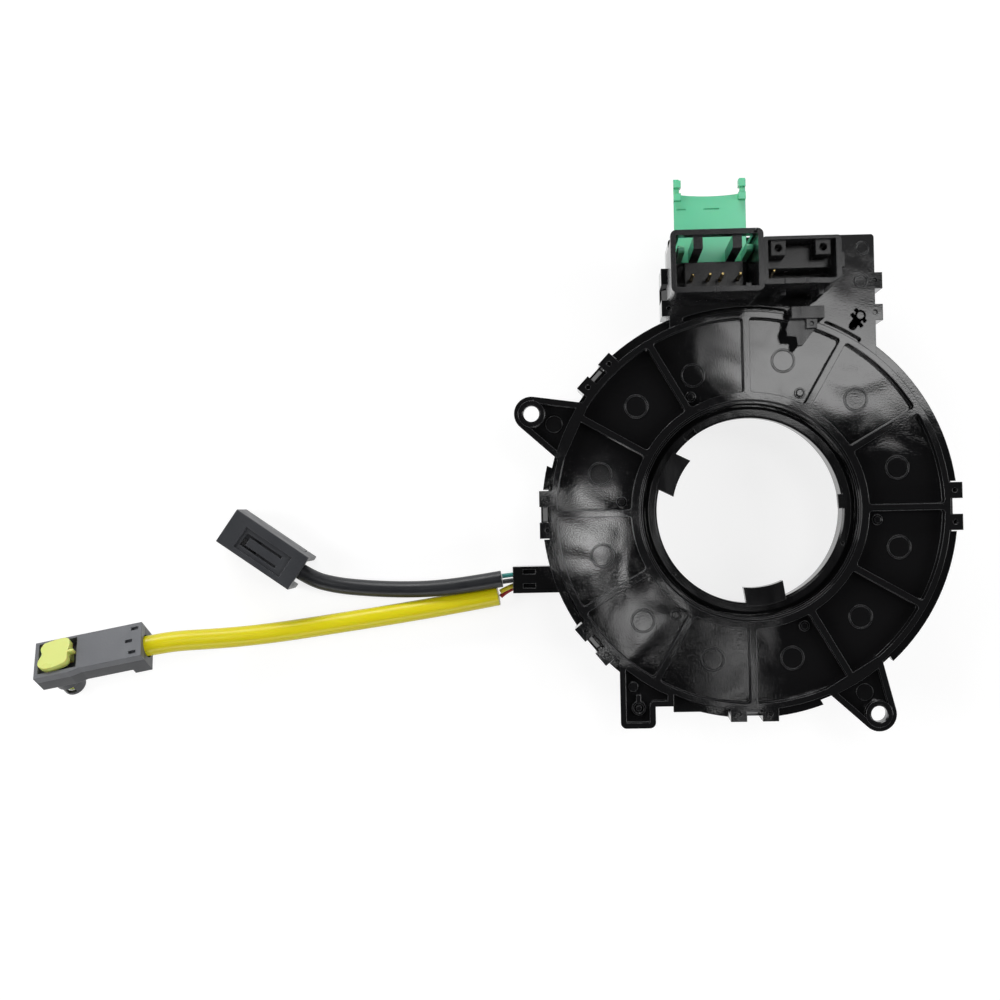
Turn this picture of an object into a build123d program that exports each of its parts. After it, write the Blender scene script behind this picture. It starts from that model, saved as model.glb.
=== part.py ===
from build123d import *
import math
import os

# Steering clock spring with its harness, lying on its front (steering wheel) side.
# Millimetres, +Z up. The origin is on the bore axis, in the plane that the part rests on.
# +Z points to the steering column, +Y to the connector bracket, and the harness leaves towards -X.

os.makedirs("parts", exist_ok=True)

# Fits
running_gap = 0.3
side_gap = 0.15
mark_depth = 0.2

# Rotor: the half that turns with the steering wheel
bore_radius = 23.3
ring_sleeve_wall = 1.5
ring_sleeve_depth = 7.0
ring_snap_wall = 0.8
ring_throat_height = 3.7
ring_flange_overhang = 1.4
ring_flange_thickness = 1.6
ring_flange_bevel = 0.5
ring_dot_radius = 0.45
ring_dot_angles = (99.2, 219.2, 339.2)
hub_wall = 1.8
hub_bore_step = 1.45
hub_foot_wall = 2.85
front_depth = 7.2
rotor_disc_thickness = 1.5
rotor_rim_width = 1.4
rotor_rim_drop = 1.2
ring_tab_reach = 3.9
ring_tab_width = 10.0
ring_tab_thickness = 3.4
ring_tab_angles = (153.6, 279.0)
ring_tongue_angle = 4.6
ring_tongue_width = 3.6
ring_tongue_reach = 1.0
ring_tongue_root = 1.2
ring_slot_angle = 126.7
ring_slot_width = 3.4
ring_slot_depth = 1.3

# Ribbon cassette
slide_ring_thickness = 0.4
ribbon_height = 9.0
ribbon_thickness = 0.5
ribbon_inner_gap = 3.3
ribbon_outer_gap = 2.2
ribbon_half_turns = 9

# Case ring and the ribbed plate that closes it on the column side
cavity_depth = 10.7
cavity_radius = 48.9
case_wall = 2.0
case_flange_wall = 1.95
case_flange_height = 2.8
case_flange_slope = 1.2
case_seat_depth = 1.7
plate_floor = 1.5
rib_height = 2.8
rib_width = 1.6
rib_count = 12
rim_overlap = 1.0
rim_width = 1.5
rim_groove = 0.4
collar_gap = 0.7
collar_ledge_width = 0.5
collar_slope_width = 0.4
collar_step_drop = 0.8
collar_width = 1.9
lip_thickness = 1.5
lip_drop = 1.0
pocket_corner_radius = 0.8
ejector_radius = 3.0
ejector_ring_width = 0.35
ejector_reach = 9.0
ejector_angles = (15, 45, 76, 136, 165, 196, 225, 255, 285, 315, 345)
ejector_off_reach = 7.2
ejector_off_angle = 111.3
gate_dot_radius = 1.3
gate_dot_height = 0.5
gate_dot_reach = 2.5
gate_dot_angles = (175.0, 116.0, 65.5, 354.6, 294.2, 233.7)

# Snap latches: a loop on the plate drops over a hook on the case
latch_width = 12.0
latch_window = 3.9
latch_thickness = 1.75
latch_tab_thickness = 1.2
latch_depth = 11.5
latch_bar_height = 1.8
latch_pin_hole_radius = 0.6
latch_pin_hole_depth = 0.8
latch_ring_angles = (0.0, 137.0, 180.0, 219.5, 270.0)
hook_height = 3.0
hook_reach = 1.5
bracket_latch_right_setback = 15.6
bracket_latch_left_setback = 13.3

# Mounting ears
ear_reach = 10.1
ear_angles = (154.9, 301.0)
ear_hole_radius = 2.0
ear_hole_bevel = 0.25
ear_boss_wall = 1.35
ear_boss_proud = 0.2
ear_outer_radius = 4.35
ear_spread = 8.4
ear_wall = 1.5
ear_pocket_depth = 1.7
ear_band_width = 0.7
ear_ejector_radius = 2.1
ear_ejector_reach = 3.9
ear_root_radius = 0.8
ear_notch_margin = 1.9

# Foot: the walled pocket at the lower left of the ring
foot_angle = 237.5
foot_left = -6.7
foot_right = 2.1
foot_low = -11.95
foot_step_low = -6.55
foot_step_right = 6.7
foot_top = 8.1
foot_wall = 1.45
foot_corner_radius = 1.5
foot_pocket_depth = 1.6
foot_dot_place = (-3.4, -1.6)
foot_dot_radius = 1.2
foot_key_place = (-2.1, -7.0)
foot_key_radius = 1.75
foot_key_wall = 0.5
foot_key_pin_radius = 0.7
foot_key_slot_width = 1.1
foot_key_slot_length = 1.6
case_lug_width = 6.9
case_lug_low = -8.4

# Connector bracket
bracket_left = -19.1
bracket_right = 32.35
bracket_reach = 18.6
bracket_root = 11.9
bracket_thickness = 2.2
bracket_wall = 1.8
bracket_corner_radius = 0.8
bracket_groove_width = 1.2
bracket_groove_offset = 0.1
bracket_groove_arcs = ((79.0, 107.5), (56.4, 66.5))
bracket_dot_radius = 1.7
bracket_dot_places = ((29.4, -3.4), (28.9, -11.7))
bracket_slot_place = (27.7, -21.5)
bracket_slot_length = 5.6
bracket_slot_width = 2.0
bracket_slot_angle = 53.0
bracket_slot_arm_length = 4.2
bracket_slot_arm_width = 0.9
locating_post_place = (28.6, -20.3)
locating_post_radius = 0.9
locating_post_gap = 0.45
clip_block_place = (14.4, -20.2)
clip_block_width = 8.0
clip_block_depth = 3.0
clip_block_height = 7.2
clip_boss_shift = 1.0
clip_boss_width = 2.6
clip_boss_depth = 2.3
clip_boss_drop = 0.9
clip_boss_height = 5.0
clip_eye_radius = 0.5
clip_eye_depth = 0.6
clip_brace_bottom = 3.0
clip_brace_thickness = 1.8
clip_brace_outline = [
    (-4.0, -0.5),
    (0.4, -0.5),
    (0.4, -3.2),
    (1.9, -3.9),
    (-1.2, -7.9),
    (-2.3, -7.9),
    (-2.6, -5.7),
    (-4.8, -5.5),
    (-5.2, -3.8),
]
ribbon_slot_angle = 96.0
ribbon_slot_width = 4.0

# Main connector
main_left = -19.55
main_setback = 1.75
main_width = 21.25
main_depth = 14.2
main_height = 23.4
main_wall = 1.0
main_corner_radius = 1.4
main_rim_proud = 0.25
main_rim_height = 2.2
main_floor_height = 9.4
main_well_depth = 4.0
main_arm_x = (-13.2, -4.0)
main_arm_width = 2.2
main_arm_depth = 3.0
main_arm_point = 0.8
main_window_top = 3.4
main_window_side = 0.9
main_nub_radius = 0.55
main_nub_height = 0.9
key_rib_width = 1.2
key_rib_depth = 1.0
pin_x = (-14.2, -10.1, -7.1, -2.9)
pin_setback = 4.85
pin_size = 0.64
pin_taper = 0.18
pin_stand = 8.0
pin_root_depth = 7.0
pin_clearance = 0.08
short_x = (-6.0, -3.4)
short_width = 1.3
short_thickness = 0.3
short_foot = 1.1
short_height = 4.2
terminal_block_side = 1.4

# Translucent lock of the main connector, shown pulled out
lock_width = 17.9
lock_inset = 3.65
lock_reach = 13.55
lock_thickness = 1.4
lock_travel = 5.0
lock_sag = 0.7
lock_prong_width = 1.4
lock_prong_length = 3.7
lock_hook_size = 1.8
lock_hook_height = 2.6
lock_hook_offsets = (-0.9, 2.3)
lock_groove_offset = 3.9
lock_groove_spans = ((0.7, 2.9), (7.5, 11.2))
lock_groove_size = 0.3
lock_arm_width = 1.5
lock_arm_depth = 1.8
lock_arm_height = 15.0
lock_channel_clearance = 0.35

# Auxiliary connector
aux_gap = 0.3
aux_width = 18.6
aux_setback = 1.65
aux_depth = 11.3
aux_height = 20.4
aux_wall = 1.3
aux_far_wall = 0.8
aux_corner_radius = 0.9
aux_cut_width = 2.6
aux_cut_depth = 1.3
aux_rim_pad_x = (7.1, 14.9)
aux_rim_pad_height = 0.4
aux_shelf_height = 13.0
aux_floor_height = 4.5
aux_slot_depth = 3.6
aux_boss_size = 3.5
aux_boss_x = (5.9, 16.5)
aux_boss_height = 6.0
aux_boss_hole_radius = 0.9
aux_boss_hole_depth = 4.0
aux_rib_x = (8.0, 17.1)
aux_rib_width = 1.2
aux_rib_reach = 1.2
aux_rib_height = 11.0
aux_fin_reach = 0.6
aux_fin_setback = 5.5
aux_fin_width = 3.6
aux_fin_height = 8.0
aux_pin_x = 5.15
aux_pin_setback = 3.9
aux_pin_stand = 11.9

# Wire holder under the rotor disc, where the harness leaves
holder_end_x = -60.9
holder_root_x = -31.0
holder_y = -17.1
holder_width = 7.0
holder_wall = 1.0
holder_cover_thickness = 1.0
holder_mouth_width = 5.2
holder_mouth_height = 4.8
holder_slot_length = 3.3
holder_slot_width = 1.2
holder_slot_x = -56.6
holder_slot_offsets = (2.1, -1.6)
holder_slot_depth = 0.8
rotor_block_length = 20.7
rotor_block_height = 4.9
rotor_window_length = 3.0

# Harness: sleeves and single wires. Routes are points chosen by hand, x, y, z.
black_sleeve_radius = 2.2
yellow_sleeve_radius = 2.7
wire_radius = 0.6
black_sleeve_route = [
    (-64.0, -16.8, 5.1),
    (-73.0, -18.2, 5.1),
    (-83.0, -19.2, 4.3),
    (-93.0, -19.2, 2.9),
    (-102.0, -18.6, 2.4),
    (-108.6, -17.7, 3.2),
    (-114.86, -15.851, 4.5),
    (-119.928, -12.289, 4.5),
]
yellow_sleeve_route = [
    (-65.1, -21.3, 2.75),
    (-75.5, -23.1, 2.75),
    (-87.0, -24.9, 2.75),
    (-99.5, -26.7, 2.75),
    (-112.0, -28.4, 2.8),
    (-123.5, -29.9, 3.2),
    (-133.5, -30.8, 4.8),
    (-142.3, -31.1, 7.4),
    (-149.8, -31.2, 9.8),
    (-155.4, -31.94, 11.15),
    (-159.3, -32.66, 11.24),
]
wire_inside_x = -56.0
teal_wire_route = [(wire_inside_x, -15.5, 4.7), (-60.0, -15.6, 4.7), (-63.9, -16.1, 5.0)]
brown_wire_route = [(wire_inside_x, -17.0, 4.7), (-60.0, -17.1, 4.7), (-63.7, -17.6, 5.1)]
amber_wire_route = [(wire_inside_x, -17.6, 3.1), (-60.2, -17.9, 3.1), (-64.6, -20.35, 3.5)]
red_wire_route = [(wire_inside_x, -18.6, 1.75), (-61.4, -18.7, 1.75), (-64.6, -21.7, 2.3)]

# Horn plug
horn_center = (-126.6, -7.6)
horn_angle = -35.1
horn_length = 22.9
horn_width = 10.1
horn_height = 10.0
horn_wall = 1.2
horn_edge_radius = 0.35
horn_mouth_depth = 10.4
horn_rear_depth = 5.3
horn_recess_start = 4.7
horn_recess_length = 14.4
horn_recess_width = 6.2
horn_recess_depth = 0.5
horn_slot_start = 5.6
horn_slot_length = 11.2
horn_slot_width = 0.7
horn_arm_width = 2.3
horn_arm_offset = -0.5
horn_arm_ramp = 1.4
horn_seam_depth = 0.3
horn_seam_width = 0.3
horn_seam_start = 4.6
horn_tab_length = 2.7
horn_terminal_size = 1.5
horn_terminal_pitch = 3.6
horn_terminal_reach = 6.0
horn_retainer_thickness = 2.0

# Squib plug, lying rolled on its nose
squib_center = (-171.6, -32.5)
squib_angle = 10.4
squib_roll = 34.5
squib_length = 28.6
squib_width = 10.1
squib_cover_thickness = 2.3
squib_body_height = 3.9
squib_end_block_height = 5.7
squib_end_block_length = 4.5
squib_bulge_width = 0.6
squib_bulge_length = 9.0
squib_bulge_slope = 3.0
squib_nose_offset = -10.4
squib_nose_radius = 3.7
squib_nose_wall = 0.9
squib_nose_length = 9.5
squib_nose_floor = 1.3
squib_tip_radius = 3.1
squib_tip_length = 4.2
squib_tip_window_width = 2.4
squib_tip_window_length = 2.6
squib_latch_width = 3.0
squib_latch_thickness = 1.2
squib_latch_length = 5.4
squib_latch_hook = 0.8
squib_latch_gap = 0.6
squib_cable_drop = 4.2
squib_cable_depth = 2.6
squib_cavity_width = 6.6
squib_cavity_depth = 2.9
squib_cavity_start = 1.0
squib_cavity_end = 9.4
squib_window_length = 10.2
squib_window_width = 8.8
squib_window_edge = 1.0
squib_cap_height = 1.4
squib_cap_sink = 0.6
squib_cap_travel = 1.5
squib_leg_width = 2.4
squib_leg_thickness = 1.0
squib_leg_pitch = 5.4
squib_leg_depth = 3.2
squib_nub_length = 1.0
squib_nub_width = 0.6
squib_slot_length = 1.9
squib_slot_width = 0.9
squib_slot_depth = 0.8
squib_slot_places = ((12.4, 3.5), (10.9, 0.0), (11.9, -3.5))
squib_collar_wall = 0.6
squib_collar_length = 7.4
squib_terminal_radius = 0.5
squib_terminal_pitch = 1.6
squib_terminal_length = 5.6
ferrite_length = 5.0
ferrite_width = 5.6
ferrite_height = 2.6
ferrite_hole_radius = 0.7

# Levels that follow from the sizes above
disc_top = front_depth + rotor_disc_thickness
case_bottom = disc_top + running_gap
plate_bottom = case_bottom + cavity_depth
pocket_floor = plate_bottom + plate_floor
rim_top = pocket_floor + rib_height
lip_bottom = plate_bottom - lip_drop
lip_top = lip_bottom + lip_thickness
hub_top = lip_bottom - running_gap
flange_bottom = lip_top + running_gap
flange_top = flange_bottom + ring_flange_thickness
rim_radius = cavity_radius + rim_overlap
case_shoulder_outer = rim_radius + rim_groove
case_flange_radius = case_shoulder_outer + case_flange_wall
case_outer_radius = cavity_radius + case_wall
rotor_disc_radius = case_outer_radius - running_gap
case_top = plate_bottom + case_seat_depth
bracket_top = case_top + bracket_thickness
ring_sleeve_radius = bore_radius + ring_sleeve_wall
hub_inner_radius = ring_sleeve_radius + side_gap
hub_outer_radius = hub_inner_radius + hub_wall
hub_bore_radius = hub_inner_radius + hub_bore_step
hub_foot_radius = hub_bore_radius + hub_foot_wall
lip_radius = ring_sleeve_radius + running_gap
ring_flange_radius = ring_sleeve_radius + ring_flange_overhang
collar_inner_radius = ring_flange_radius + collar_gap
collar_ledge_radius = collar_inner_radius + collar_ledge_width
collar_top_radius = collar_ledge_radius + collar_slope_width
collar_outer_radius = collar_top_radius + collar_width
box_floor_top = case_bottom + bracket_wall
ribbon_inner_radius = hub_outer_radius + ribbon_inner_gap
ribbon_pitch = 2 * (cavity_radius - ribbon_outer_gap - ribbon_inner_radius) / ribbon_half_turns
ear_radius = rim_radius + ear_reach
bracket_far = rim_radius + bracket_reach
bracket_near = rim_radius - bracket_root
main_near = rim_radius + main_setback
aux_near = main_near + aux_setback
pin_y = main_near + pin_setback
lock_inner_y = main_near + main_depth - lock_inset
lock_outer_y = main_near + main_depth + lock_reach


def section(points):
    """Closed face in the XZ plane from (radius, height) points, for a turned piece."""
    with BuildSketch(Plane.XZ) as face:
        with BuildLine():
            Polyline(*points, close=True)
        make_face()
    return face.sketch


def polar_point(radius, angle):
    """Point in the plan at a radius and an angle in degrees."""
    return (radius * math.cos(math.radians(angle)), radius * math.sin(math.radians(angle)))


def outward_frame(radius, angle, height=0.0):
    """Location on a circle whose own +X points outwards."""
    x, y = polar_point(radius, angle)
    return Location((x, y, height), (0, 0, angle))


def write(name, builder):
    """Label a finished piece and write its file."""
    builder.part.label = name
    export_step(builder.part, f"parts/{name}.step")


def corner_radii(route):
    """Largest arc at each corner of a route that its two runs allow."""
    radii = []
    for before, corner, after in zip(route, route[1:], route[2:]):
        first = Vector(*corner) - Vector(*before)
        second = Vector(*after) - Vector(*corner)
        half_turn = math.radians(first.get_angle(second)) / 2
        radii.append(0.45 * min(first.length, second.length) / math.tan(half_turn))
    return radii


def cord_tube(name, route, radius):
    """Plain round tube along a route of straight runs and tangent arcs."""
    radii = corner_radii(route)
    with BuildPart() as tube:
        with BuildLine() as path:
            FilletPolyline(*route, radius=radii)
        with BuildSketch(Plane(origin=path.line @ 0, z_dir=path.line % 0)):
            Circle(radius)
        sweep()
    length = path.wire().length
    ideal = math.pi * radius**2 * length
    print(f"{name}: length {length:.1f}, radii {[round(r, 1) for r in radii]},",
          f"volume ratio {tube.part.volume / ideal:.4f}")
    write(name, tube)


# Where the latches stand: on the case wall round the ring and on both sides of the bracket
ring_latches = [outward_frame(case_outer_radius, angle) for angle in latch_ring_angles]
bracket_latches = [
    Location((bracket_right, bracket_far - bracket_latch_right_setback, 0), (0, 0, 0)),
    Location((bracket_left, bracket_far - bracket_latch_left_setback, 0), (0, 0, 180)),
]
latch_leg_width = (latch_width - latch_window) / 2
latch_leg_offset = (latch_window + latch_leg_width) / 2
latch_foot_z = rim_top - latch_depth
bracket_groove_radius = rim_radius + bracket_groove_offset + bracket_groove_width / 2


def latch_loop(places, top):
    """Loop of the plate: a tab over the wall, two legs outside it and a bar that joins them."""
    reach = side_gap + latch_thickness
    with Locations(*places):
        for side in (-1, 1):
            with Locations((-rim_width, side * latch_leg_offset, top)):
                Box(reach + rim_width, latch_leg_width, latch_tab_thickness,
                    align=(Align.MIN, Align.CENTER, Align.MAX))
            with Locations((side_gap, side * latch_leg_offset, top)):
                Box(latch_thickness, latch_leg_width, top - latch_foot_z,
                    align=(Align.MIN, Align.CENTER, Align.MAX))
        with Locations((side_gap, 0, latch_foot_z)):
            Box(latch_thickness, latch_width, latch_bar_height,
                align=(Align.MIN, Align.CENTER, Align.MIN))
        for side in (-1, 1):
            with Locations((0, side * latch_leg_offset, top)):
                Cylinder(latch_pin_hole_radius, latch_pin_hole_depth,
                         align=(Align.CENTER, Align.CENTER, Align.MAX), mode=Mode.SUBTRACT)


# Ear outline and pocket, drawn for an ear on the +X axis
with BuildSketch() as ear_outline:
    with Locations((ear_radius, 0)):
        Circle(ear_outer_radius)
    with Locations(*[polar_point(rim_radius - ear_root_radius, side * ear_spread) for side in (-1, 1)]):
        Circle(ear_root_radius)
    make_hull()

ear_band_radius = rim_radius + ear_band_width
with BuildSketch() as ear_pocket:
    add(ear_outline.sketch)
    offset(amount=-ear_wall)
    Circle(ear_band_radius, mode=Mode.SUBTRACT)
    with Locations((ear_radius, 0)):
        Circle(ear_hole_radius + ear_boss_wall, mode=Mode.SUBTRACT)

# Foot outline: an upright box with a step to the right, run into the ring
foot_x, foot_y = polar_point(rim_radius, foot_angle)
with BuildSketch(Location((foot_x, foot_y, 0))) as foot_outline:
    with BuildLine():
        Polyline(
            (foot_left, foot_top),
            (foot_left, foot_low),
            (foot_right, foot_low),
            (foot_right, foot_step_low),
            (foot_step_right, foot_step_low),
            (foot_step_right, foot_top),
            close=True,
        )
    make_face()
    fillet(foot_outline.vertices().group_by(Axis.Y)[0], foot_corner_radius)
    with Locations((-foot_x, -foot_y)):
        Circle(rim_radius - rim_width / 2, mode=Mode.SUBTRACT)

# Main connector outline and the places that follow from it
main_x0 = main_left + main_wall
main_x1 = main_left + main_width - main_wall
main_y0 = main_near + main_wall
main_y1 = main_near + main_depth - main_wall
main_center = (main_left + main_width / 2, main_near + main_depth / 2)
main_base_size = (main_x1 - main_x0, main_y1 - main_y0)
main_foot_left = bracket_left + bracket_wall + side_gap
main_foot_right = main_x1 - side_gap
main_foot_size = (main_foot_right - main_foot_left, main_y1 - main_y0)
main_foot_center = ((main_foot_right + main_foot_left) / 2, main_center[1])
main_rim_z = bracket_top + main_height
main_floor_z = bracket_top + main_floor_height
lock_bottom = bracket_top + running_gap
lock_top = lock_bottom + lock_thickness
lock_slot_top = lock_top + running_gap
lock_right = main_x1 - running_gap
lock_left = lock_right - lock_width
lock_center_x = (lock_left + lock_right) / 2
block_left = lock_left + lock_arm_width + lock_channel_clearance
block_right = lock_right - lock_arm_width - lock_channel_clearance
block_far = main_y1 - main_well_depth
aux_left = main_left + main_width + aux_gap
aux_rim_z = bracket_top + aux_height

post_place = (locating_post_place[0], bracket_far + locating_post_place[1])
clip_place = (clip_block_place[0], bracket_far + clip_block_place[1])
ejector_places = [polar_point(collar_outer_radius + ejector_reach, angle) for angle in ejector_angles]
ejector_places.append(polar_point(collar_outer_radius + ejector_off_reach, ejector_off_angle))

# Ribbed plate: closes the case on the column side and carries ears, foot and bracket
with BuildPart() as column_plate:
    add(section([
        (lip_radius, lip_bottom),
        (collar_top_radius, lip_bottom),
        (collar_top_radius, plate_bottom),
        (rim_radius, plate_bottom),
        (rim_radius, rim_top),
        (collar_top_radius, rim_top),
        (collar_ledge_radius, rim_top - collar_step_drop),
        (collar_inner_radius, rim_top - collar_step_drop),
        (collar_inner_radius, lip_top),
        (lip_radius, lip_top),
    ]))
    revolve(axis=Axis.Z)
    # Twelve pockets between radial ribs
    with BuildSketch(Plane.XY.offset(pocket_floor)) as pockets:
        Circle(rim_radius - rim_width)
        Circle(collar_outer_radius, mode=Mode.SUBTRACT)
        with PolarLocations(0, rib_count):
            Rectangle(rim_radius, rib_width, align=(Align.MIN, Align.CENTER), mode=Mode.SUBTRACT)
        fillet(pockets.vertices(), pocket_corner_radius)
    extrude(amount=rib_height, mode=Mode.SUBTRACT)
    # Bracket plate
    with BuildSketch(Plane.XY.offset(case_top)) as bracket_face:
        with Locations((bracket_left, bracket_near)):
            Rectangle(bracket_right - bracket_left, bracket_far - bracket_near,
                      align=(Align.MIN, Align.MIN))
        fillet(bracket_face.vertices().group_by(Axis.Y)[-1], bracket_corner_radius)
        Circle(rim_radius - rim_width / 2, mode=Mode.SUBTRACT)
        with Locations(main_foot_center):
            Rectangle(main_foot_size[0] + 2 * side_gap, main_foot_size[1] + 2 * side_gap, mode=Mode.SUBTRACT)
        with Locations((bracket_slot_place[0], bracket_far + bracket_slot_place[1])):
            SlotOverall(bracket_slot_length, bracket_slot_width, rotation=bracket_slot_angle,
                        mode=Mode.SUBTRACT)
            Rectangle(bracket_slot_arm_length, bracket_slot_arm_width, rotation=-bracket_slot_angle,
                      mode=Mode.SUBTRACT)
        with Locations(post_place):
            Circle(locating_post_radius + locating_post_gap, mode=Mode.SUBTRACT)
            Rectangle(bracket_slot_arm_length, bracket_slot_arm_width, rotation=-bracket_slot_angle,
                      mode=Mode.SUBTRACT)
        for start, end in bracket_groove_arcs:
            groove = CenterArc((0, 0), bracket_groove_radius, start, end - start)
            SlotArc(groove, bracket_groove_width, mode=Mode.SUBTRACT)
    extrude(amount=bracket_thickness)
    # Land that carries the harness clip, level with the rim
    with Locations((*clip_place, bracket_top)):
        Box(clip_block_width, clip_block_depth, rim_top - bracket_top,
            align=(Align.CENTER, Align.CENTER, Align.MIN))
    # Ears
    for angle in ear_angles:
        ear_plane = Plane(origin=(0, 0, case_top), x_dir=(*polar_point(1, angle), 0), z_dir=(0, 0, 1))
        with BuildSketch(ear_plane):
            add(ear_outline.sketch)
        extrude(amount=rim_top - case_top)
        with BuildSketch(ear_plane.offset(rim_top - case_top - ear_pocket_depth)):
            add(ear_pocket.sketch)
        extrude(amount=ear_pocket_depth, mode=Mode.SUBTRACT)
        with Locations(outward_frame(ear_radius, angle, rim_top)):
            Cylinder(ear_hole_radius + ear_boss_wall, ear_boss_proud,
                     align=(Align.CENTER, Align.CENTER, Align.MIN))
        with Locations(outward_frame(ear_radius, angle, rim_top + ear_boss_proud)):
            CounterSinkHole(ear_hole_radius, ear_hole_radius + ear_hole_bevel,
                            depth=rim_top + ear_boss_proud - case_top, counter_sink_angle=90)
        with Locations(outward_frame(rim_radius + ear_ejector_reach, angle, rim_top - ear_pocket_depth)):
            Cylinder(ear_ejector_radius, mark_depth, align=(Align.CENTER, Align.CENTER, Align.MIN))
    # Foot
    with BuildSketch(Plane.XY.offset(case_top)):
        add(foot_outline.sketch)
    extrude(amount=rim_top - case_top)
    with BuildSketch(Plane.XY.offset(rim_top - foot_pocket_depth)) as foot_pocket:
        add(foot_outline.sketch)
        offset(amount=-foot_wall)
        Circle(rim_radius + foot_wall / 2, mode=Mode.SUBTRACT)
    extrude(amount=foot_pocket_depth, mode=Mode.SUBTRACT)
    with BuildSketch(Plane.XY.offset(rim_top - foot_pocket_depth)):
        with Locations((foot_x + foot_dot_place[0], foot_y + foot_dot_place[1])):
            Circle(foot_dot_radius)
        with Locations((foot_x + foot_key_place[0], foot_y + foot_key_place[1])):
            Circle(foot_key_radius)
            Circle(foot_key_radius - foot_key_wall, mode=Mode.SUBTRACT)
            Circle(foot_key_pin_radius)
            with Locations((0, foot_key_radius - foot_key_wall)):
                Rectangle(foot_key_slot_width, foot_key_wall + foot_key_slot_length,
                          align=(Align.CENTER, Align.MIN))
    extrude(amount=foot_pocket_depth / 2)
    # Latch loops
    latch_loop(ring_latches, rim_top)
    latch_loop(bracket_latches, bracket_top)
    # Ejector rings in the pockets, gate dots beside the collar, ejector dots on the bracket
    with BuildSketch(Plane.XY.offset(pocket_floor)):
        with Locations(*ejector_places):
            Circle(ejector_radius)
            Circle(ejector_radius - ejector_ring_width, mode=Mode.SUBTRACT)
    extrude(amount=mark_depth)
    with BuildSketch(Plane.XY.offset(pocket_floor)):
        with Locations(*[polar_point(collar_outer_radius + gate_dot_reach, angle)
                         for angle in gate_dot_angles]):
            Circle(gate_dot_radius)
    extrude(amount=gate_dot_height)
    with BuildSketch(Plane.XY.offset(bracket_top)):
        with Locations(*[(x, bracket_far + y) for x, y in bracket_dot_places]):
            Circle(bracket_dot_radius)
            Circle(bracket_dot_radius - ejector_ring_width, mode=Mode.SUBTRACT)
    extrude(amount=mark_depth)
write("column_plate", column_plate)

# Harness clip on the land: a block with a boss and a flat brace that reaches over the rim
with BuildPart() as harness_clip:
    with Locations((*clip_place, rim_top)):
        Box(clip_block_width, clip_block_depth, clip_block_height,
            align=(Align.CENTER, Align.CENTER, Align.MIN))
        with Locations((clip_boss_shift, -clip_block_depth / 2, clip_block_height - clip_boss_drop)):
            Box(clip_boss_width, clip_boss_depth, clip_boss_height,
                align=(Align.CENTER, Align.MAX, Align.MAX))
            with Locations((0, -clip_boss_depth / 2, 0)):
                Cylinder(clip_eye_radius, clip_eye_depth, align=(Align.CENTER, Align.CENTER, Align.MAX),
                         mode=Mode.SUBTRACT)
    with BuildSketch(Plane(origin=(*clip_place, rim_top + clip_brace_bottom))):
        with BuildLine():
            Polyline(*clip_brace_outline, close=True)
        make_face()
    extrude(amount=clip_brace_thickness)
write("harness_clip", harness_clip)

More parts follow.
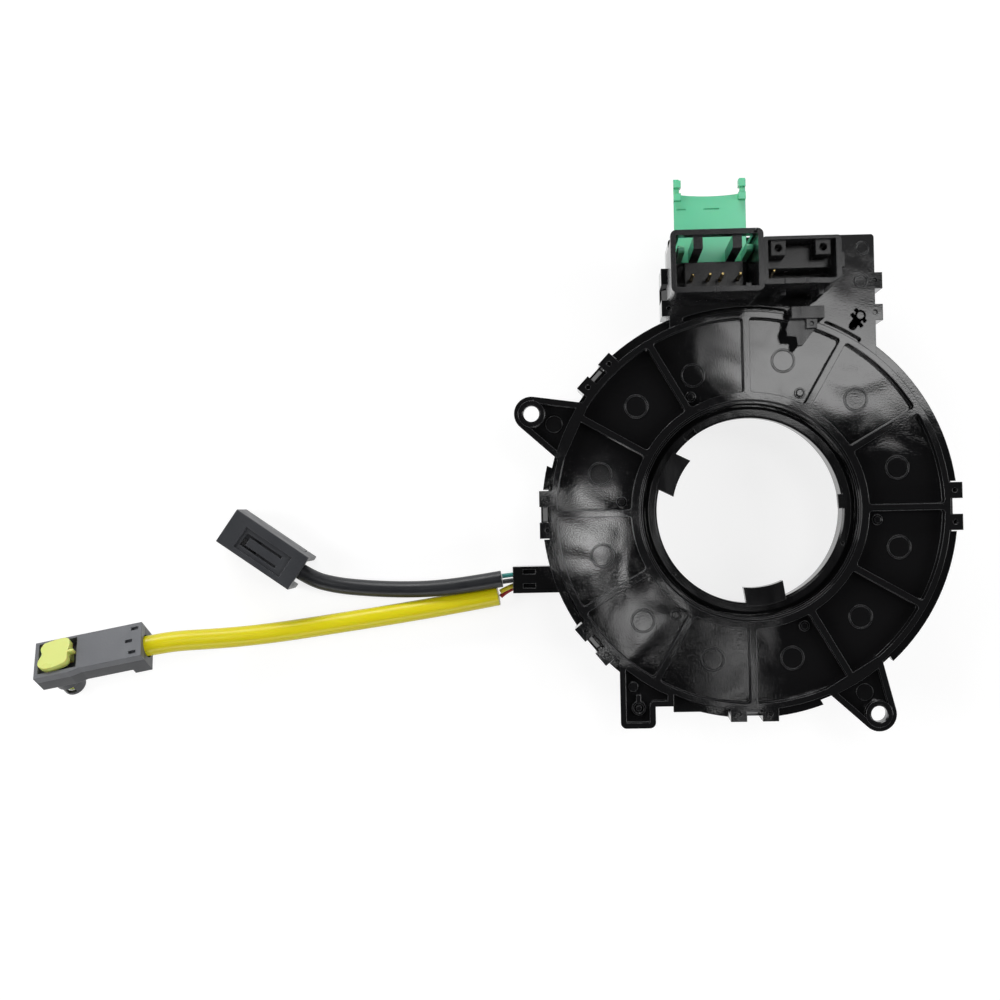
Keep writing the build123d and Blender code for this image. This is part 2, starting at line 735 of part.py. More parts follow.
# Case ring: outer wall of the cassette with the box under the bracket, hooks and a lug
with BuildPart() as case_ring:
    with BuildSketch(Plane.XY.offset(case_bottom)) as box_outline:
        with Locations((bracket_left, bracket_near)):
            Rectangle(bracket_right - bracket_left, bracket_far - bracket_near,
                      align=(Align.MIN, Align.MIN))
        fillet(box_outline.vertices().group_by(Axis.Y)[-1], bracket_corner_radius)
    extrude(amount=case_top - case_bottom)
    with BuildSketch(Plane.XY.offset(box_floor_top)):
        with Locations((bracket_left + bracket_wall, bracket_near)):
            Rectangle(bracket_right - bracket_left - 2 * bracket_wall,
                      bracket_far - bracket_near - bracket_wall, align=(Align.MIN, Align.MIN))
    extrude(amount=case_top - box_floor_top, mode=Mode.SUBTRACT)
    add(section([
        (cavity_radius - side_gap, case_bottom),
        (case_outer_radius, case_bottom),
        (case_outer_radius, case_top - case_flange_height - case_flange_slope),
        (case_flange_radius, case_top - case_flange_height),
        (case_flange_radius, case_top),
        (cavity_radius - side_gap, case_top),
    ]))
    revolve(axis=Axis.Z)
    # Lug beside the foot
    with Locations((foot_x + foot_step_right, foot_y + case_lug_low, case_top)):
        Box(case_lug_width, -case_lug_low, case_flange_height, align=(Align.MIN, Align.MIN, Align.MAX))
    # Cavity and the seat for the plate
    with BuildSketch(Plane.XY.offset(case_bottom)):
        Circle(cavity_radius)
    extrude(amount=case_top - case_bottom, mode=Mode.SUBTRACT)
    with BuildSketch(Plane.XY.offset(plate_bottom)):
        Circle(case_shoulder_outer)
    extrude(amount=case_top - plate_bottom, mode=Mode.SUBTRACT)
    # Notches that let the loops pass and clear the ears, then the hooks
    notch_height = case_flange_height + case_flange_slope
    with BuildSketch(Plane.XY.offset(case_top - notch_height)):
        with Locations(*[outward_frame(0, angle) for angle in latch_ring_angles]):
            Rectangle(2 * case_flange_radius, latch_width + 2 * running_gap, align=(Align.MIN, Align.CENTER))
        with Locations(*[outward_frame(0, angle) for angle in ear_angles]):
            Rectangle(2 * case_flange_radius, 2 * (ear_spread + ear_notch_margin),
                      align=(Align.MIN, Align.CENTER))
        Circle(case_outer_radius, mode=Mode.SUBTRACT)
    extrude(amount=notch_height, mode=Mode.SUBTRACT)
    hook_bottom = latch_foot_z + latch_bar_height + side_gap
    with BuildSketch(Plane.XZ) as hook_face:
        with BuildLine():
            Polyline((-case_wall / 4, hook_bottom), (hook_reach, hook_bottom),
                     (0, hook_bottom + hook_height), (-case_wall / 4, hook_bottom + hook_height), close=True)
        make_face()
    hook_solid = extrude(hook_face.sketch, amount=(latch_window - 2 * side_gap) / 2, both=True,
                         mode=Mode.PRIVATE)
    with Locations(*ring_latches, *bracket_latches):
        add(hook_solid)
    # Way through the wall for the ribbon's outer end
    with Locations(outward_frame(cavity_radius - case_wall, ribbon_slot_angle, box_floor_top)):
        Box(3 * case_wall, ribbon_slot_width, ribbon_height - bracket_wall,
            align=(Align.MIN, Align.CENTER, Align.MIN), mode=Mode.SUBTRACT)
    # Post that locates the bracket plate
    with Locations((*post_place, case_bottom)):
        Cylinder(locating_post_radius, bracket_top - case_bottom,
                 align=(Align.CENTER, Align.CENTER, Align.MIN))
write("case_ring", case_ring)

# Main connector shroud
with BuildPart() as main_connector:
    with BuildSketch(Plane.XY.offset(bracket_top)) as main_outline:
        with Locations(main_center):
            RectangleRounded(main_width, main_depth, main_corner_radius)
    extrude(amount=main_height)
    with BuildSketch(Plane.XY.offset(main_rim_z - main_rim_height)):
        with Locations(main_center):
            RectangleRounded(main_width + 2 * main_rim_proud, main_depth + 2 * main_rim_proud,
                             main_corner_radius)
    extrude(amount=main_rim_height)
    with BuildSketch(Plane.XY.offset(case_top)):
        with Locations(main_foot_center):
            Rectangle(*main_foot_size)
    extrude(amount=bracket_thickness)
    # Socket above the floor block, and the well beyond it down to the lock
    with BuildSketch(Plane.XY.offset(lock_slot_top)):
        with Locations(main_center):
            Rectangle(*main_base_size)
        with Locations((block_left, main_y0)):
            Rectangle(block_right - block_left, block_far - main_y0, align=(Align.MIN, Align.MIN),
                      mode=Mode.SUBTRACT)
    extrude(amount=main_rim_z - lock_slot_top, mode=Mode.SUBTRACT)
    with BuildSketch(Plane.XY.offset(main_floor_z)):
        with Locations(main_center):
            Rectangle(*main_base_size)
    extrude(amount=main_rim_z - main_floor_z, mode=Mode.SUBTRACT)
    # Slot for the lock, open through the far wall
    lock_slot_near = lock_inner_y - lock_travel - running_gap
    with BuildSketch(Plane.XY.offset(bracket_top)):
        with Locations((lock_center_x, lock_slot_near)):
            Rectangle(lock_width + 2 * running_gap, main_depth, align=(Align.CENTER, Align.MIN))
    extrude(amount=lock_slot_top - bracket_top, mode=Mode.SUBTRACT)
    # Side wells under the socket for the lock's arms
    for side in (-1, 1):
        with Locations((lock_center_x + side * (lock_width / 2 + running_gap), lock_slot_near, bracket_top)):
            Box(lock_arm_width + lock_channel_clearance + running_gap, main_y1 - lock_slot_near,
                main_floor_z - bracket_top,
                align=(Align.MAX if side > 0 else Align.MIN, Align.MIN, Align.MIN), mode=Mode.SUBTRACT)
    # Window in the far wall, and the two arms that hang from its rim
    window_low = lock_slot_top
    window_high = main_rim_z - main_window_top
    with Locations((main_center[0], main_near + main_depth - 2 * main_wall, window_low)):
        Box(main_base_size[0] - 2 * main_window_side, 4 * main_wall, window_high - window_low,
            align=(Align.CENTER, Align.MIN, Align.MIN), mode=Mode.SUBTRACT)
    with Locations(*[(x, main_y1, window_high + main_window_top / 2) for x in main_arm_x]):
        arm_length = window_high - window_low + main_window_top / 2 - running_gap
        Box(main_arm_width, main_arm_depth, arm_length, align=(Align.CENTER, Align.MAX, Align.MAX))
    arm_ends = main_connector.edges().filter_by(Axis.Y).filter_by_position(
        Axis.Z, window_low + side_gap, window_low + 2 * running_gap)
    chamfer([e for e in arm_ends if e.length > main_arm_depth - side_gap], main_arm_point)
    # Keying ribs on the near wall and a nub on the far right corner
    with Locations(*[(x, main_y0, main_floor_z) for x in (block_left, block_right)]):
        Box(key_rib_width, key_rib_depth, main_height - main_floor_height - main_rim_height,
            align=(Align.CENTER, Align.MIN, Align.MIN))
    with Locations((main_x1 - main_nub_radius, main_y1 + (main_wall + main_rim_proud) / 2, main_rim_z)):
        Cone(main_nub_radius, main_nub_radius / 3, main_nub_height,
             align=(Align.CENTER, Align.CENTER, Align.MIN))
    # Square holes for the pins
    pin_hole = pin_size + 2 * pin_clearance
    with BuildSketch(Plane.XY.offset(case_top)):
        with Locations(*[(x, pin_y) for x in pin_x]):
            Rectangle(pin_hole, pin_hole)
    extrude(amount=main_floor_z - case_top, mode=Mode.SUBTRACT)
write("main_connector", main_connector)

# Terminal block in the box under the bracket, with a blind hole for each pin
pin_root_z = case_top - pin_root_depth
with BuildPart() as stator_terminal_block:
    with Locations((pin_x[0] - terminal_block_side, main_y0, box_floor_top)):
        Box(pin_x[-1] - pin_x[0] + 2 * terminal_block_side, block_far - main_y0,
            case_top - running_gap - box_floor_top, align=Align.MIN)
    with BuildSketch(Plane.XY.offset(pin_root_z)):
        with Locations(*[(x, pin_y) for x in pin_x]):
            Rectangle(pin_hole, pin_hole)
    extrude(amount=case_top - pin_root_z, mode=Mode.SUBTRACT)
write("stator_terminal_block", stator_terminal_block)

# Contact pins of the main connector
for number, x in enumerate(pin_x, start=1):
    with BuildPart() as main_pin:
        with Locations((x, pin_y, pin_root_z)):
            Box(pin_size, pin_size, main_floor_z + pin_stand - pin_root_z,
                align=(Align.CENTER, Align.CENTER, Align.MIN))
        chamfer(main_pin.faces().sort_by(Axis.Z)[-1].edges(), pin_taper)
    write(f"main_pin_{number}", main_pin)

# Shorting clips: bent strips that stand on the socket floor against the near wall
for number, x in enumerate(short_x, start=1):
    with BuildPart() as shorting_clip:
        with BuildSketch(Plane.YZ.offset(x - short_width / 2)):
            with BuildLine():
                Polyline(
                    (main_y0, main_floor_z),
                    (main_y0 + short_foot + short_thickness, main_floor_z),
                    (main_y0 + short_foot + short_thickness, main_floor_z + short_thickness),
                    (main_y0 + short_thickness, main_floor_z + short_thickness),
                    (main_y0 + short_thickness, main_floor_z + short_height - short_thickness),
                    (main_y0 + short_foot, main_floor_z + short_height - short_thickness),
                    (main_y0 + short_foot, main_floor_z + short_height),
                    (main_y0, main_floor_z + short_height),
                    close=True,
                )
            make_face()
        extrude(amount=short_width)
    write(f"shorting_clip_{number}", shorting_clip)

# Translucent lock: sliding plate with two prongs outside and two arms inside the socket
with BuildPart() as green_lock:
    with BuildSketch(Plane.XY.offset(lock_bottom)):
        with BuildLine():
            Polyline((lock_right, lock_outer_y), (lock_right, lock_inner_y), (lock_left, lock_inner_y),
                     (lock_left, lock_outer_y))
            ThreePointArc((lock_left, lock_outer_y), (lock_center_x, lock_outer_y - lock_sag),
                          (lock_right, lock_outer_y))
        make_face()
        for side, align in ((lock_left, Align.MIN), (lock_right, Align.MAX)):
            with Locations((side, lock_outer_y - lock_sag)):
                Rectangle(lock_prong_width, lock_prong_length + lock_sag, align=(align, Align.MIN))
    extrude(amount=lock_thickness)
    for side, align in ((lock_left, Align.MIN), (lock_right, Align.MAX)):
        with Locations(*[(side, lock_outer_y + y, lock_bottom) for y in lock_hook_offsets]):
            Box(lock_hook_size, lock_hook_size, lock_hook_height, align=(align, Align.CENTER, Align.MIN))
        with Locations((side, lock_inner_y, lock_bottom)):
            Box(lock_arm_width, lock_arm_depth, lock_arm_height, align=(align, Align.MIN, Align.MIN))
    fillet(green_lock.edges().filter_by(Axis.X).group_by(Axis.Z)[-1], lock_arm_depth / 3)
    for start, end in lock_groove_spans:
        with Locations((lock_left + start, lock_outer_y - lock_groove_offset, lock_top)):
            Box(end - start, lock_groove_size, lock_groove_size, align=(Align.MIN, Align.CENTER, Align.MAX),
                mode=Mode.SUBTRACT)
write("green_lock", green_lock)

# Auxiliary connector
aux_center = (aux_left + aux_width / 2, aux_near + aux_depth / 2)
aux_inner = (aux_width - 2 * aux_wall, aux_depth - aux_wall - aux_far_wall)
aux_right = aux_left + aux_width
aux_floor_z = bracket_top + aux_floor_height
aux_shelf_z = bracket_top + aux_shelf_height
with BuildSketch() as aux_outline:
    with Locations(aux_center):
        RectangleRounded(aux_width, aux_depth, aux_corner_radius)
    with BuildLine():
        Polyline((aux_right - aux_cut_width, aux_near), (aux_right, aux_near),
                 (aux_right, aux_near + aux_cut_depth), close=True)
    make_face(mode=Mode.SUBTRACT)
with BuildPart() as aux_connector:
    with BuildSketch(Plane.XY.offset(bracket_top)):
        add(aux_outline.sketch)
        with Locations(*[(x, aux_near) for x in aux_rib_x]):
            Rectangle(aux_rib_width, aux_rib_reach, align=(Align.CENTER, Align.MAX))
    extrude(amount=aux_rib_height)
    with BuildSketch(Plane.XY.offset(bracket_top + aux_rib_height)):
        add(aux_outline.sketch)
    extrude(amount=aux_height - aux_rib_height)
    with Locations((aux_rim_pad_x[0], aux_near, aux_rim_z)):
        Box(aux_rim_pad_x[1] - aux_rim_pad_x[0], aux_wall, aux_rim_pad_height, align=Align.MIN)
    # Deep slot along the near wall and a shelf beyond it
    with BuildSketch(Plane.XY.offset(aux_floor_z)):
        with Locations((aux_center[0], aux_near + aux_wall)):
            Rectangle(aux_inner[0], aux_slot_depth, align=(Align.CENTER, Align.MIN))
    extrude(amount=aux_rim_z - aux_floor_z, mode=Mode.SUBTRACT)
    with BuildSketch(Plane.XY.offset(aux_shelf_z)):
        with Locations((aux_center[0], aux_near + aux_wall)):
            Rectangle(*aux_inner, align=(Align.CENTER, Align.MIN))
    extrude(amount=aux_rim_z - aux_shelf_z, mode=Mode.SUBTRACT)
    with Locations(*[(x, aux_near + aux_depth - aux_far_wall, aux_shelf_z) for x in aux_boss_x]):
        Box(aux_boss_size, aux_boss_size, aux_boss_height, align=(Align.CENTER, Align.MAX, Align.MIN))
        with Locations((0, -aux_boss_size / 2, aux_boss_height)):
            Cylinder(aux_boss_hole_radius, aux_boss_hole_depth,
                     align=(Align.CENTER, Align.CENTER, Align.MAX), mode=Mode.SUBTRACT)
    # Fin on the outer side
    with Locations((aux_right, aux_near + aux_fin_setback, aux_rim_z)):
        Box(aux_fin_reach, aux_fin_width, aux_fin_height, align=(Align.MIN, Align.CENTER, Align.MAX))
write("aux_connector", aux_connector)

with BuildPart() as aux_pin:
    with Locations((aux_pin_x, aux_near + aux_pin_setback, aux_floor_z)):
        Box(pin_size, pin_size, aux_pin_stand, align=(Align.CENTER, Align.CENTER, Align.MIN))
    chamfer(aux_pin.faces().sort_by(Axis.Z)[-1].edges(), pin_taper)
write("aux_pin", aux_pin)

# Rotor: hub with a foot in front and the disc that closes the cassette
holder_cross = (holder_root_x + holder_end_x) / 2
with BuildPart() as rotor:
    add(section([
        (hub_bore_radius, 0),
        (hub_foot_radius, 0),
        (hub_foot_radius, front_depth),
        (rotor_disc_radius - rotor_rim_width, front_depth),
        (rotor_disc_radius - rotor_rim_width, front_depth - rotor_rim_drop),
        (rotor_disc_radius, front_depth - rotor_rim_drop),
        (rotor_disc_radius, disc_top),
        (hub_outer_radius, disc_top),
        (hub_outer_radius, hub_top),
        (hub_inner_radius, hub_top),
        (hub_inner_radius, front_depth),
        (hub_bore_radius, front_depth),
    ]))
    revolve(axis=Axis.Z)
    # Gap in the rim for the wire holder, and the way through the disc for the ribbon's inner end
    with Locations((holder_cross, holder_y, front_depth)):
        Box(holder_root_x - holder_end_x + 2 * side_gap, holder_width + 2 * side_gap, front_depth,
            align=(Align.CENTER, Align.CENTER, Align.MAX), mode=Mode.SUBTRACT)
    with Locations((holder_root_x - holder_wall, holder_y, front_depth)):
        Box(rotor_window_length, holder_width - 2 * holder_wall, rotor_disc_thickness,
            align=(Align.MAX, Align.CENTER, Align.MIN), mode=Mode.SUBTRACT)
write("rotor", rotor)

# Ring that clips into the hub from the column side and drives the column's cam with two tabs
with BuildPart() as rotor_ring:
    add(section([
        (bore_radius, flange_top - ring_flange_bevel),
        (bore_radius, flange_top - ring_throat_height),
        (ring_sleeve_radius - ring_snap_wall, flange_top - ring_throat_height),
        (ring_sleeve_radius - ring_snap_wall, hub_top - ring_sleeve_depth),
        (ring_sleeve_radius, hub_top - ring_sleeve_depth),
        (ring_sleeve_radius, flange_bottom),
        (ring_flange_radius, flange_bottom),
        (ring_flange_radius, flange_top - ring_flange_thickness / 2),
        (ring_flange_radius - ring_flange_thickness / 2, flange_top),
        (bore_radius + ring_flange_bevel, flange_top),
    ]))
    revolve(axis=Axis.Z)
    for angle in ring_tab_angles:
        with BuildSketch(Plane.XY.offset(flange_top + ring_flange_thickness / 2 - ring_tab_thickness)):
            with Locations(outward_frame(0, angle)):
                Rectangle(ring_sleeve_radius, ring_tab_width, align=(Align.MIN, Align.CENTER))
            Circle(bore_radius - ring_tab_reach, mode=Mode.SUBTRACT)
            Circle(bore_radius + ring_sleeve_wall / 2, mode=Mode.INTERSECT)
        extrude(amount=ring_tab_thickness)
    # Tongue that reaches into the bore, a slot and three gate dimples
    with Locations(outward_frame(bore_radius + ring_tongue_root, ring_tongue_angle, flange_top)):
        Box(ring_tongue_reach + ring_tongue_root, ring_tongue_width, ring_flange_thickness,
            align=(Align.MAX, Align.CENTER, Align.MAX))
    with Locations(outward_frame(bore_radius, ring_slot_angle, flange_top)):
        Box(2 * ring_slot_depth, ring_slot_width, ring_flange_thickness,
            align=(Align.CENTER, Align.CENTER, Align.MAX), mode=Mode.SUBTRACT)
    with Locations(*[outward_frame(bore_radius + ring_sleeve_wall, angle, flange_top)
                     for angle in ring_dot_angles]):
        Cylinder(ring_dot_radius, mark_depth, align=(Align.CENTER, Align.CENTER, Align.MAX),
                 mode=Mode.SUBTRACT)
write("rotor_ring", rotor_ring)

# Slide ring between the rotor disc and the ribbon
with BuildPart() as slide_ring:
    with BuildSketch(Plane.XY.offset(disc_top)):
        Circle(cavity_radius - 2 * running_gap)
        Circle(hub_outer_radius + 2 * running_gap, mode=Mode.SUBTRACT)
    extrude(amount=slide_ring_thickness)
write("slide_ring", slide_ring)

# Wound ribbon: half turns struck from two centres that lie a quarter pitch to each side
with BuildPart() as ribbon_cable:
    with BuildSketch(Plane.XY.offset(disc_top + slide_ring_thickness)):
        for half in range(ribbon_half_turns):
            side = 1 if half % 2 == 0 else -1
            radius = ribbon_inner_radius + half * ribbon_pitch / 2
            with BuildSketch(mode=Mode.PRIVATE) as half_turn:
                with Locations((side * ribbon_pitch / 4, 0)):
                    Circle(radius + ribbon_thickness / 2)
                    Circle(radius - ribbon_thickness / 2, mode=Mode.SUBTRACT)
                Rectangle(4 * cavity_radius, 2 * cavity_radius,
                          align=(Align.CENTER, Align.MIN if side > 0 else Align.MAX), mode=Mode.INTERSECT)
            add(half_turn.sketch)
    extrude(amount=ribbon_height)
write("ribbon_cable", ribbon_cable)

# Wire holder: a channel under the disc, open at its end and closed by a cover in front
holder_size = (holder_root_x - holder_end_x, holder_width)
holder_height = front_depth - holder_cover_thickness
with BuildPart() as wire_holder:
    with Locations((holder_cross, holder_y, holder_cover_thickness)):
        Box(*holder_size, holder_height, align=(Align.CENTER, Align.CENTER, Align.MIN))
        Box(holder_size[0] - 2 * holder_wall, holder_width - 2 * holder_wall, holder_height - holder_wall,
            align=(Align.CENTER, Align.CENTER, Align.MIN), mode=Mode.SUBTRACT)
    with Locations((holder_end_x, holder_y, holder_cover_thickness)):
        Box(4 * holder_wall, holder_mouth_width, holder_mouth_height,
            align=(Align.CENTER, Align.CENTER, Align.MIN), mode=Mode.SUBTRACT)
    with Locations(*[(holder_slot_x, holder_y + offset_y, front_depth) for offset_y in holder_slot_offsets]):
        Box(holder_slot_length, holder_slot_width, holder_slot_depth,
            align=(Align.CENTER, Align.CENTER, Align.MAX), mode=Mode.SUBTRACT)
    with Locations((holder_root_x - holder_wall, holder_y, front_depth)):
        Box(rotor_window_length, holder_width - 2 * holder_wall, holder_wall,
            align=(Align.MAX, Align.CENTER, Align.MAX), mode=Mode.SUBTRACT)
write("wire_holder", wire_holder)

with BuildPart() as wire_cover:
    with Locations((holder_cross, holder_y, 0)):
        Box(*holder_size, holder_cover_thickness, align=(Align.CENTER, Align.CENTER, Align.MIN))
    fillet(wire_cover.edges().filter_by(Axis.Z), holder_wall / 2)
write("wire_cover", wire_cover)

with BuildPart() as rotor_terminal_block:
    with Locations((holder_root_x - holder_wall - rotor_window_length, holder_y, holder_cover_thickness)):
        Box(rotor_block_length, holder_width - 2 * holder_wall - 2 * side_gap, rotor_block_height,
            align=(Align.MAX, Align.CENTER, Align.MIN))
write("rotor_terminal_block", rotor_terminal_block)

# Harness
cord_tube("black_sleeve", black_sleeve_route, black_sleeve_radius)
cord_tube("yellow_sleeve", yellow_sleeve_route, yellow_sleeve_radius)
cord_tube("wire_teal", teal_wire_route, wire_radius)
cord_tube("wire_brown", brown_wire_route, wire_radius)
cord_tube("wire_amber", amber_wire_route, wire_radius)
cord_tube("wire_red", red_wire_route, wire_radius)

# Horn plug: its own X runs along the plug to the cable end
horn_plane = Plane(origin=(*horn_center, 0), x_dir=(*polar_point(1, horn_angle), 0), z_dir=(0, 0, 1))
horn_end = horn_length / 2
horn_inner = (horn_width - 2 * horn_wall, horn_height - 2 * horn_wall)
horn_mid_start = -horn_end + horn_mouth_depth
horn_mid_end = horn_end - horn_rear_depth
with BuildPart(horn_plane) as horn_plug_housing:
    Box(horn_length, horn_width, horn_height, align=(Align.CENTER, Align.CENTER, Align.MIN))
    fillet(horn_plug_housing.edges().filter_by(Axis(horn_plane.origin, horn_plane.x_dir)), horn_edge_radius)
    with Locations((-horn_end, 0, horn_wall)):
        Box(horn_mouth_depth, *horn_inner, align=(Align.MIN, Align.CENTER, Align.MIN), mode=Mode.SUBTRACT)
    with Locations((horn_end, 0, horn_wall)):
        Box(horn_rear_depth, *horn_inner, align=(Align.MAX, Align.CENTER, Align.MIN), mode=Mode.SUBTRACT)
    # Bottom left open at the rear, and the seam round the retainer's tab on the far side
    with Locations((horn_end, 0, 0)):
        Box(horn_tab_length, horn_inner[0], horn_wall, align=(Align.MAX, Align.CENTER, Align.MIN),
            mode=Mode.SUBTRACT)
    with Locations((horn_end - horn_seam_start, horn_width / 2, horn_height / 2)):
        Box(horn_seam_start - horn_tab_length, horn_seam_depth, horn_seam_width,
            align=(Align.MIN, Align.MAX, Align.CENTER), mode=Mode.SUBTRACT)
    with Locations((horn_end - horn_tab_length, horn_width / 2, 0)):
        Box(horn_seam_width, horn_seam_depth, (horn_height + horn_seam_width) / 2,
            align=(Align.CENTER, Align.MAX, Align.MIN), mode=Mode.SUBTRACT)
    # Channels for the two terminals
    channel = horn_terminal_size + 2 * pin_clearance
    with Locations(*[(0, side * horn_terminal_pitch / 2, horn_height / 2) for side in (-1, 1)]):
        Box(horn_length, channel, channel, mode=Mode.SUBTRACT)
    # Shallow recess with the latch arm between two slots
    with Locations((-horn_end + horn_recess_start, horn_arm_offset, horn_height)):
        Box(horn_recess_length, horn_recess_width, horn_recess_depth,
            align=(Align.MIN, Align.CENTER, Align.MAX), mode=Mode.SUBTRACT)
    slot_offset = (horn_arm_width + horn_slot_width) / 2
    with Locations(*[(-horn_end + horn_slot_start, horn_arm_offset + side * slot_offset, horn_height)
                     for side in (-1, 1)]):
        Box(horn_slot_length, horn_slot_width, horn_wall, align=(Align.MIN, Align.CENTER, Align.MAX),
            mode=Mode.SUBTRACT)
    with Locations((-horn_end + horn_slot_start, horn_arm_offset, horn_height)):
        Box(horn_arm_ramp, horn_arm_width, horn_wall, align=(Align.MIN, Align.CENTER, Align.MAX),
            mode=Mode.SUBTRACT)
write("horn_plug_housing", horn_plug_housing)

with BuildPart(horn_plane) as horn_plug_retainer:
    with Locations((horn_mid_end, 0, horn_wall)):
        Box(horn_retainer_thickness, horn_inner[0] - 2 * side_gap, horn_inner[1] - side_gap,
            align=(Align.MIN, Align.CENTER, Align.MIN))
write("horn_plug_retainer", horn_plug_retainer)

for number, side in ((1, -1), (2, 1)):
    with BuildPart(horn_plane) as horn_terminal:
        terminal_bottom = horn_height / 2 - channel / 2
        with Locations((horn_mid_end, side * horn_terminal_pitch / 2, terminal_bottom)):
            Box(horn_mid_end - horn_mid_start + horn_terminal_reach, horn_terminal_size, horn_terminal_size,
                align=(Align.MAX, Align.CENTER, Align.MIN))
        fillet(horn_terminal.faces().sort_by(Axis(horn_plane.origin, horn_plane.x_dir))[0].edges(),
               horn_terminal_size / 4)
    write(f"horn_terminal_{number}", horn_terminal)

# Squib plug: its own X runs to the cable end and its own Z out of the cover. Its height is set so that
# the lowest point of the nose touches the resting plane.
roll = math.radians(squib_roll)
nose_tip_depth = squib_cover_thickness + squib_body_height + squib_nose_length
squib_top_z = nose_tip_depth * math.cos(roll) + squib_tip_radius * math.sin(roll)
squib_x = Vector(*polar_point(1, squib_angle), 0)
squib_z = Vector(-squib_x.Y * math.sin(roll), squib_x.X * math.sin(roll), math.cos(roll))
squib_plane = Plane(origin=(*squib_center, squib_top_z), x_dir=squib_x, z_dir=squib_z)
squib_end = squib_length / 2
squib_body_bottom = -squib_cover_thickness - squib_body_height
squib_window_center = -squib_end + squib_window_edge + squib_window_length / 2
squib_cable_place = (squib_end - squib_cable_depth, 0, -squib_cable_drop)
squib_hole_radius = yellow_sleeve_radius + 2 * side_gap


def squib_cable_hole():
    """Round way for the sleeve into the cable end, shared by body and cover."""
    with Locations(Location(squib_cable_place, (0, 90, 0))):
        Cylinder(squib_hole_radius, 2 * squib_cable_depth, align=(Align.CENTER, Align.CENTER, Align.MIN),
                 mode=Mode.SUBTRACT)


leg_places = [(squib_window_center + side * squib_leg_pitch / 2, 0) for side in (-1, 1)]
bulge_y = -squib_width / 2 - squib_bulge_width
with BuildSketch() as squib_outline:
    with BuildLine():
        Polyline((-squib_end, squib_width / 2), (-squib_end, bulge_y),
                 (-squib_end + squib_bulge_length, bulge_y),
                 (-squib_end + squib_bulge_length + squib_bulge_slope, -squib_width / 2),
                 (squib_end, -squib_width / 2), (squib_end, squib_width / 2), close=True)
    make_face()
nose_straight = squib_nose_length - squib_tip_length
with BuildPart(squib_plane) as squib_plug_housing:
    with BuildSketch(squib_plane.offset(squib_body_bottom)):
        add(squib_outline.sketch)
    extrude(amount=squib_body_height)
    with Locations((squib_end, 0, -squib_cover_thickness)):
        Box(squib_end_block_length, squib_width, squib_end_block_height,
            align=(Align.MAX, Align.CENTER, Align.MAX))
    with Locations((squib_nose_offset, 0, squib_body_bottom)):
        Cylinder(squib_nose_radius, nose_straight, align=(Align.CENTER, Align.CENTER, Align.MAX))
        Cylinder(squib_tip_radius, squib_nose_length, align=(Align.CENTER, Align.CENTER, Align.MAX))
        # Latch arm with its hook, to the right of the nose
        with Locations((squib_nose_radius + squib_latch_gap, 0, 0)):
            Box(squib_latch_thickness, squib_latch_width, squib_latch_length,
                align=(Align.MIN, Align.CENTER, Align.MAX))
            with Locations((squib_latch_thickness, 0, -squib_latch_length)):
                Box(2 * squib_latch_hook, squib_latch_width, squib_latch_thickness,
                    align=(Align.CENTER, Align.CENTER, Align.MIN))
        with Locations((0, 0, -squib_nose_floor)):
            Cylinder(squib_tip_radius - squib_nose_wall, squib_nose_length,
                     align=(Align.CENTER, Align.CENTER, Align.MAX), mode=Mode.SUBTRACT)
        # Window in the tip that shows the collar
        with Locations((0, -squib_tip_radius, -squib_nose_length + squib_nose_wall)):
            Box(squib_tip_window_width, squib_tip_radius, squib_tip_window_length,
                align=(Align.CENTER, Align.CENTER, Align.MIN), mode=Mode.SUBTRACT)
    # Hollow for the ferrite, closed by the cover, and slots for the legs of the lock cap
    with Locations((squib_cavity_start, 0, -squib_cover_thickness)):
        Box(squib_cavity_end - squib_cavity_start, squib_cavity_width, squib_cavity_depth,
            align=(Align.MIN, Align.CENTER, Align.MAX), mode=Mode.SUBTRACT)
    with Locations(*[(*place, -squib_cover_thickness) for place in leg_places]):
        Box(squib_leg_thickness + 2 * running_gap, squib_leg_width + 2 * running_gap,
            squib_leg_depth, align=(Align.CENTER, Align.CENTER, Align.MAX),
            mode=Mode.SUBTRACT)
    squib_cable_hole()
write("squib_plug_housing", squib_plug_housing)

with BuildPart(squib_plane) as squib_plug_cover:
    with BuildSketch(squib_plane.offset(-squib_cover_thickness)):
        add(squib_outline.sketch)
    extrude(amount=squib_cover_thickness)
    with Locations((squib_window_center, 0, 0)):
        Box(squib_window_length, squib_window_width, 2 * squib_cover_thickness, mode=Mode.SUBTRACT)
    with Locations(*[(x, y, 0) for x, y in squib_slot_places]):
        Box(squib_slot_length, squib_slot_width, squib_slot_depth,
            align=(Align.CENTER, Align.CENTER, Align.MAX), mode=Mode.SUBTRACT)
    squib_cable_hole()
write("squib_plug_cover", squib_plug_cover)

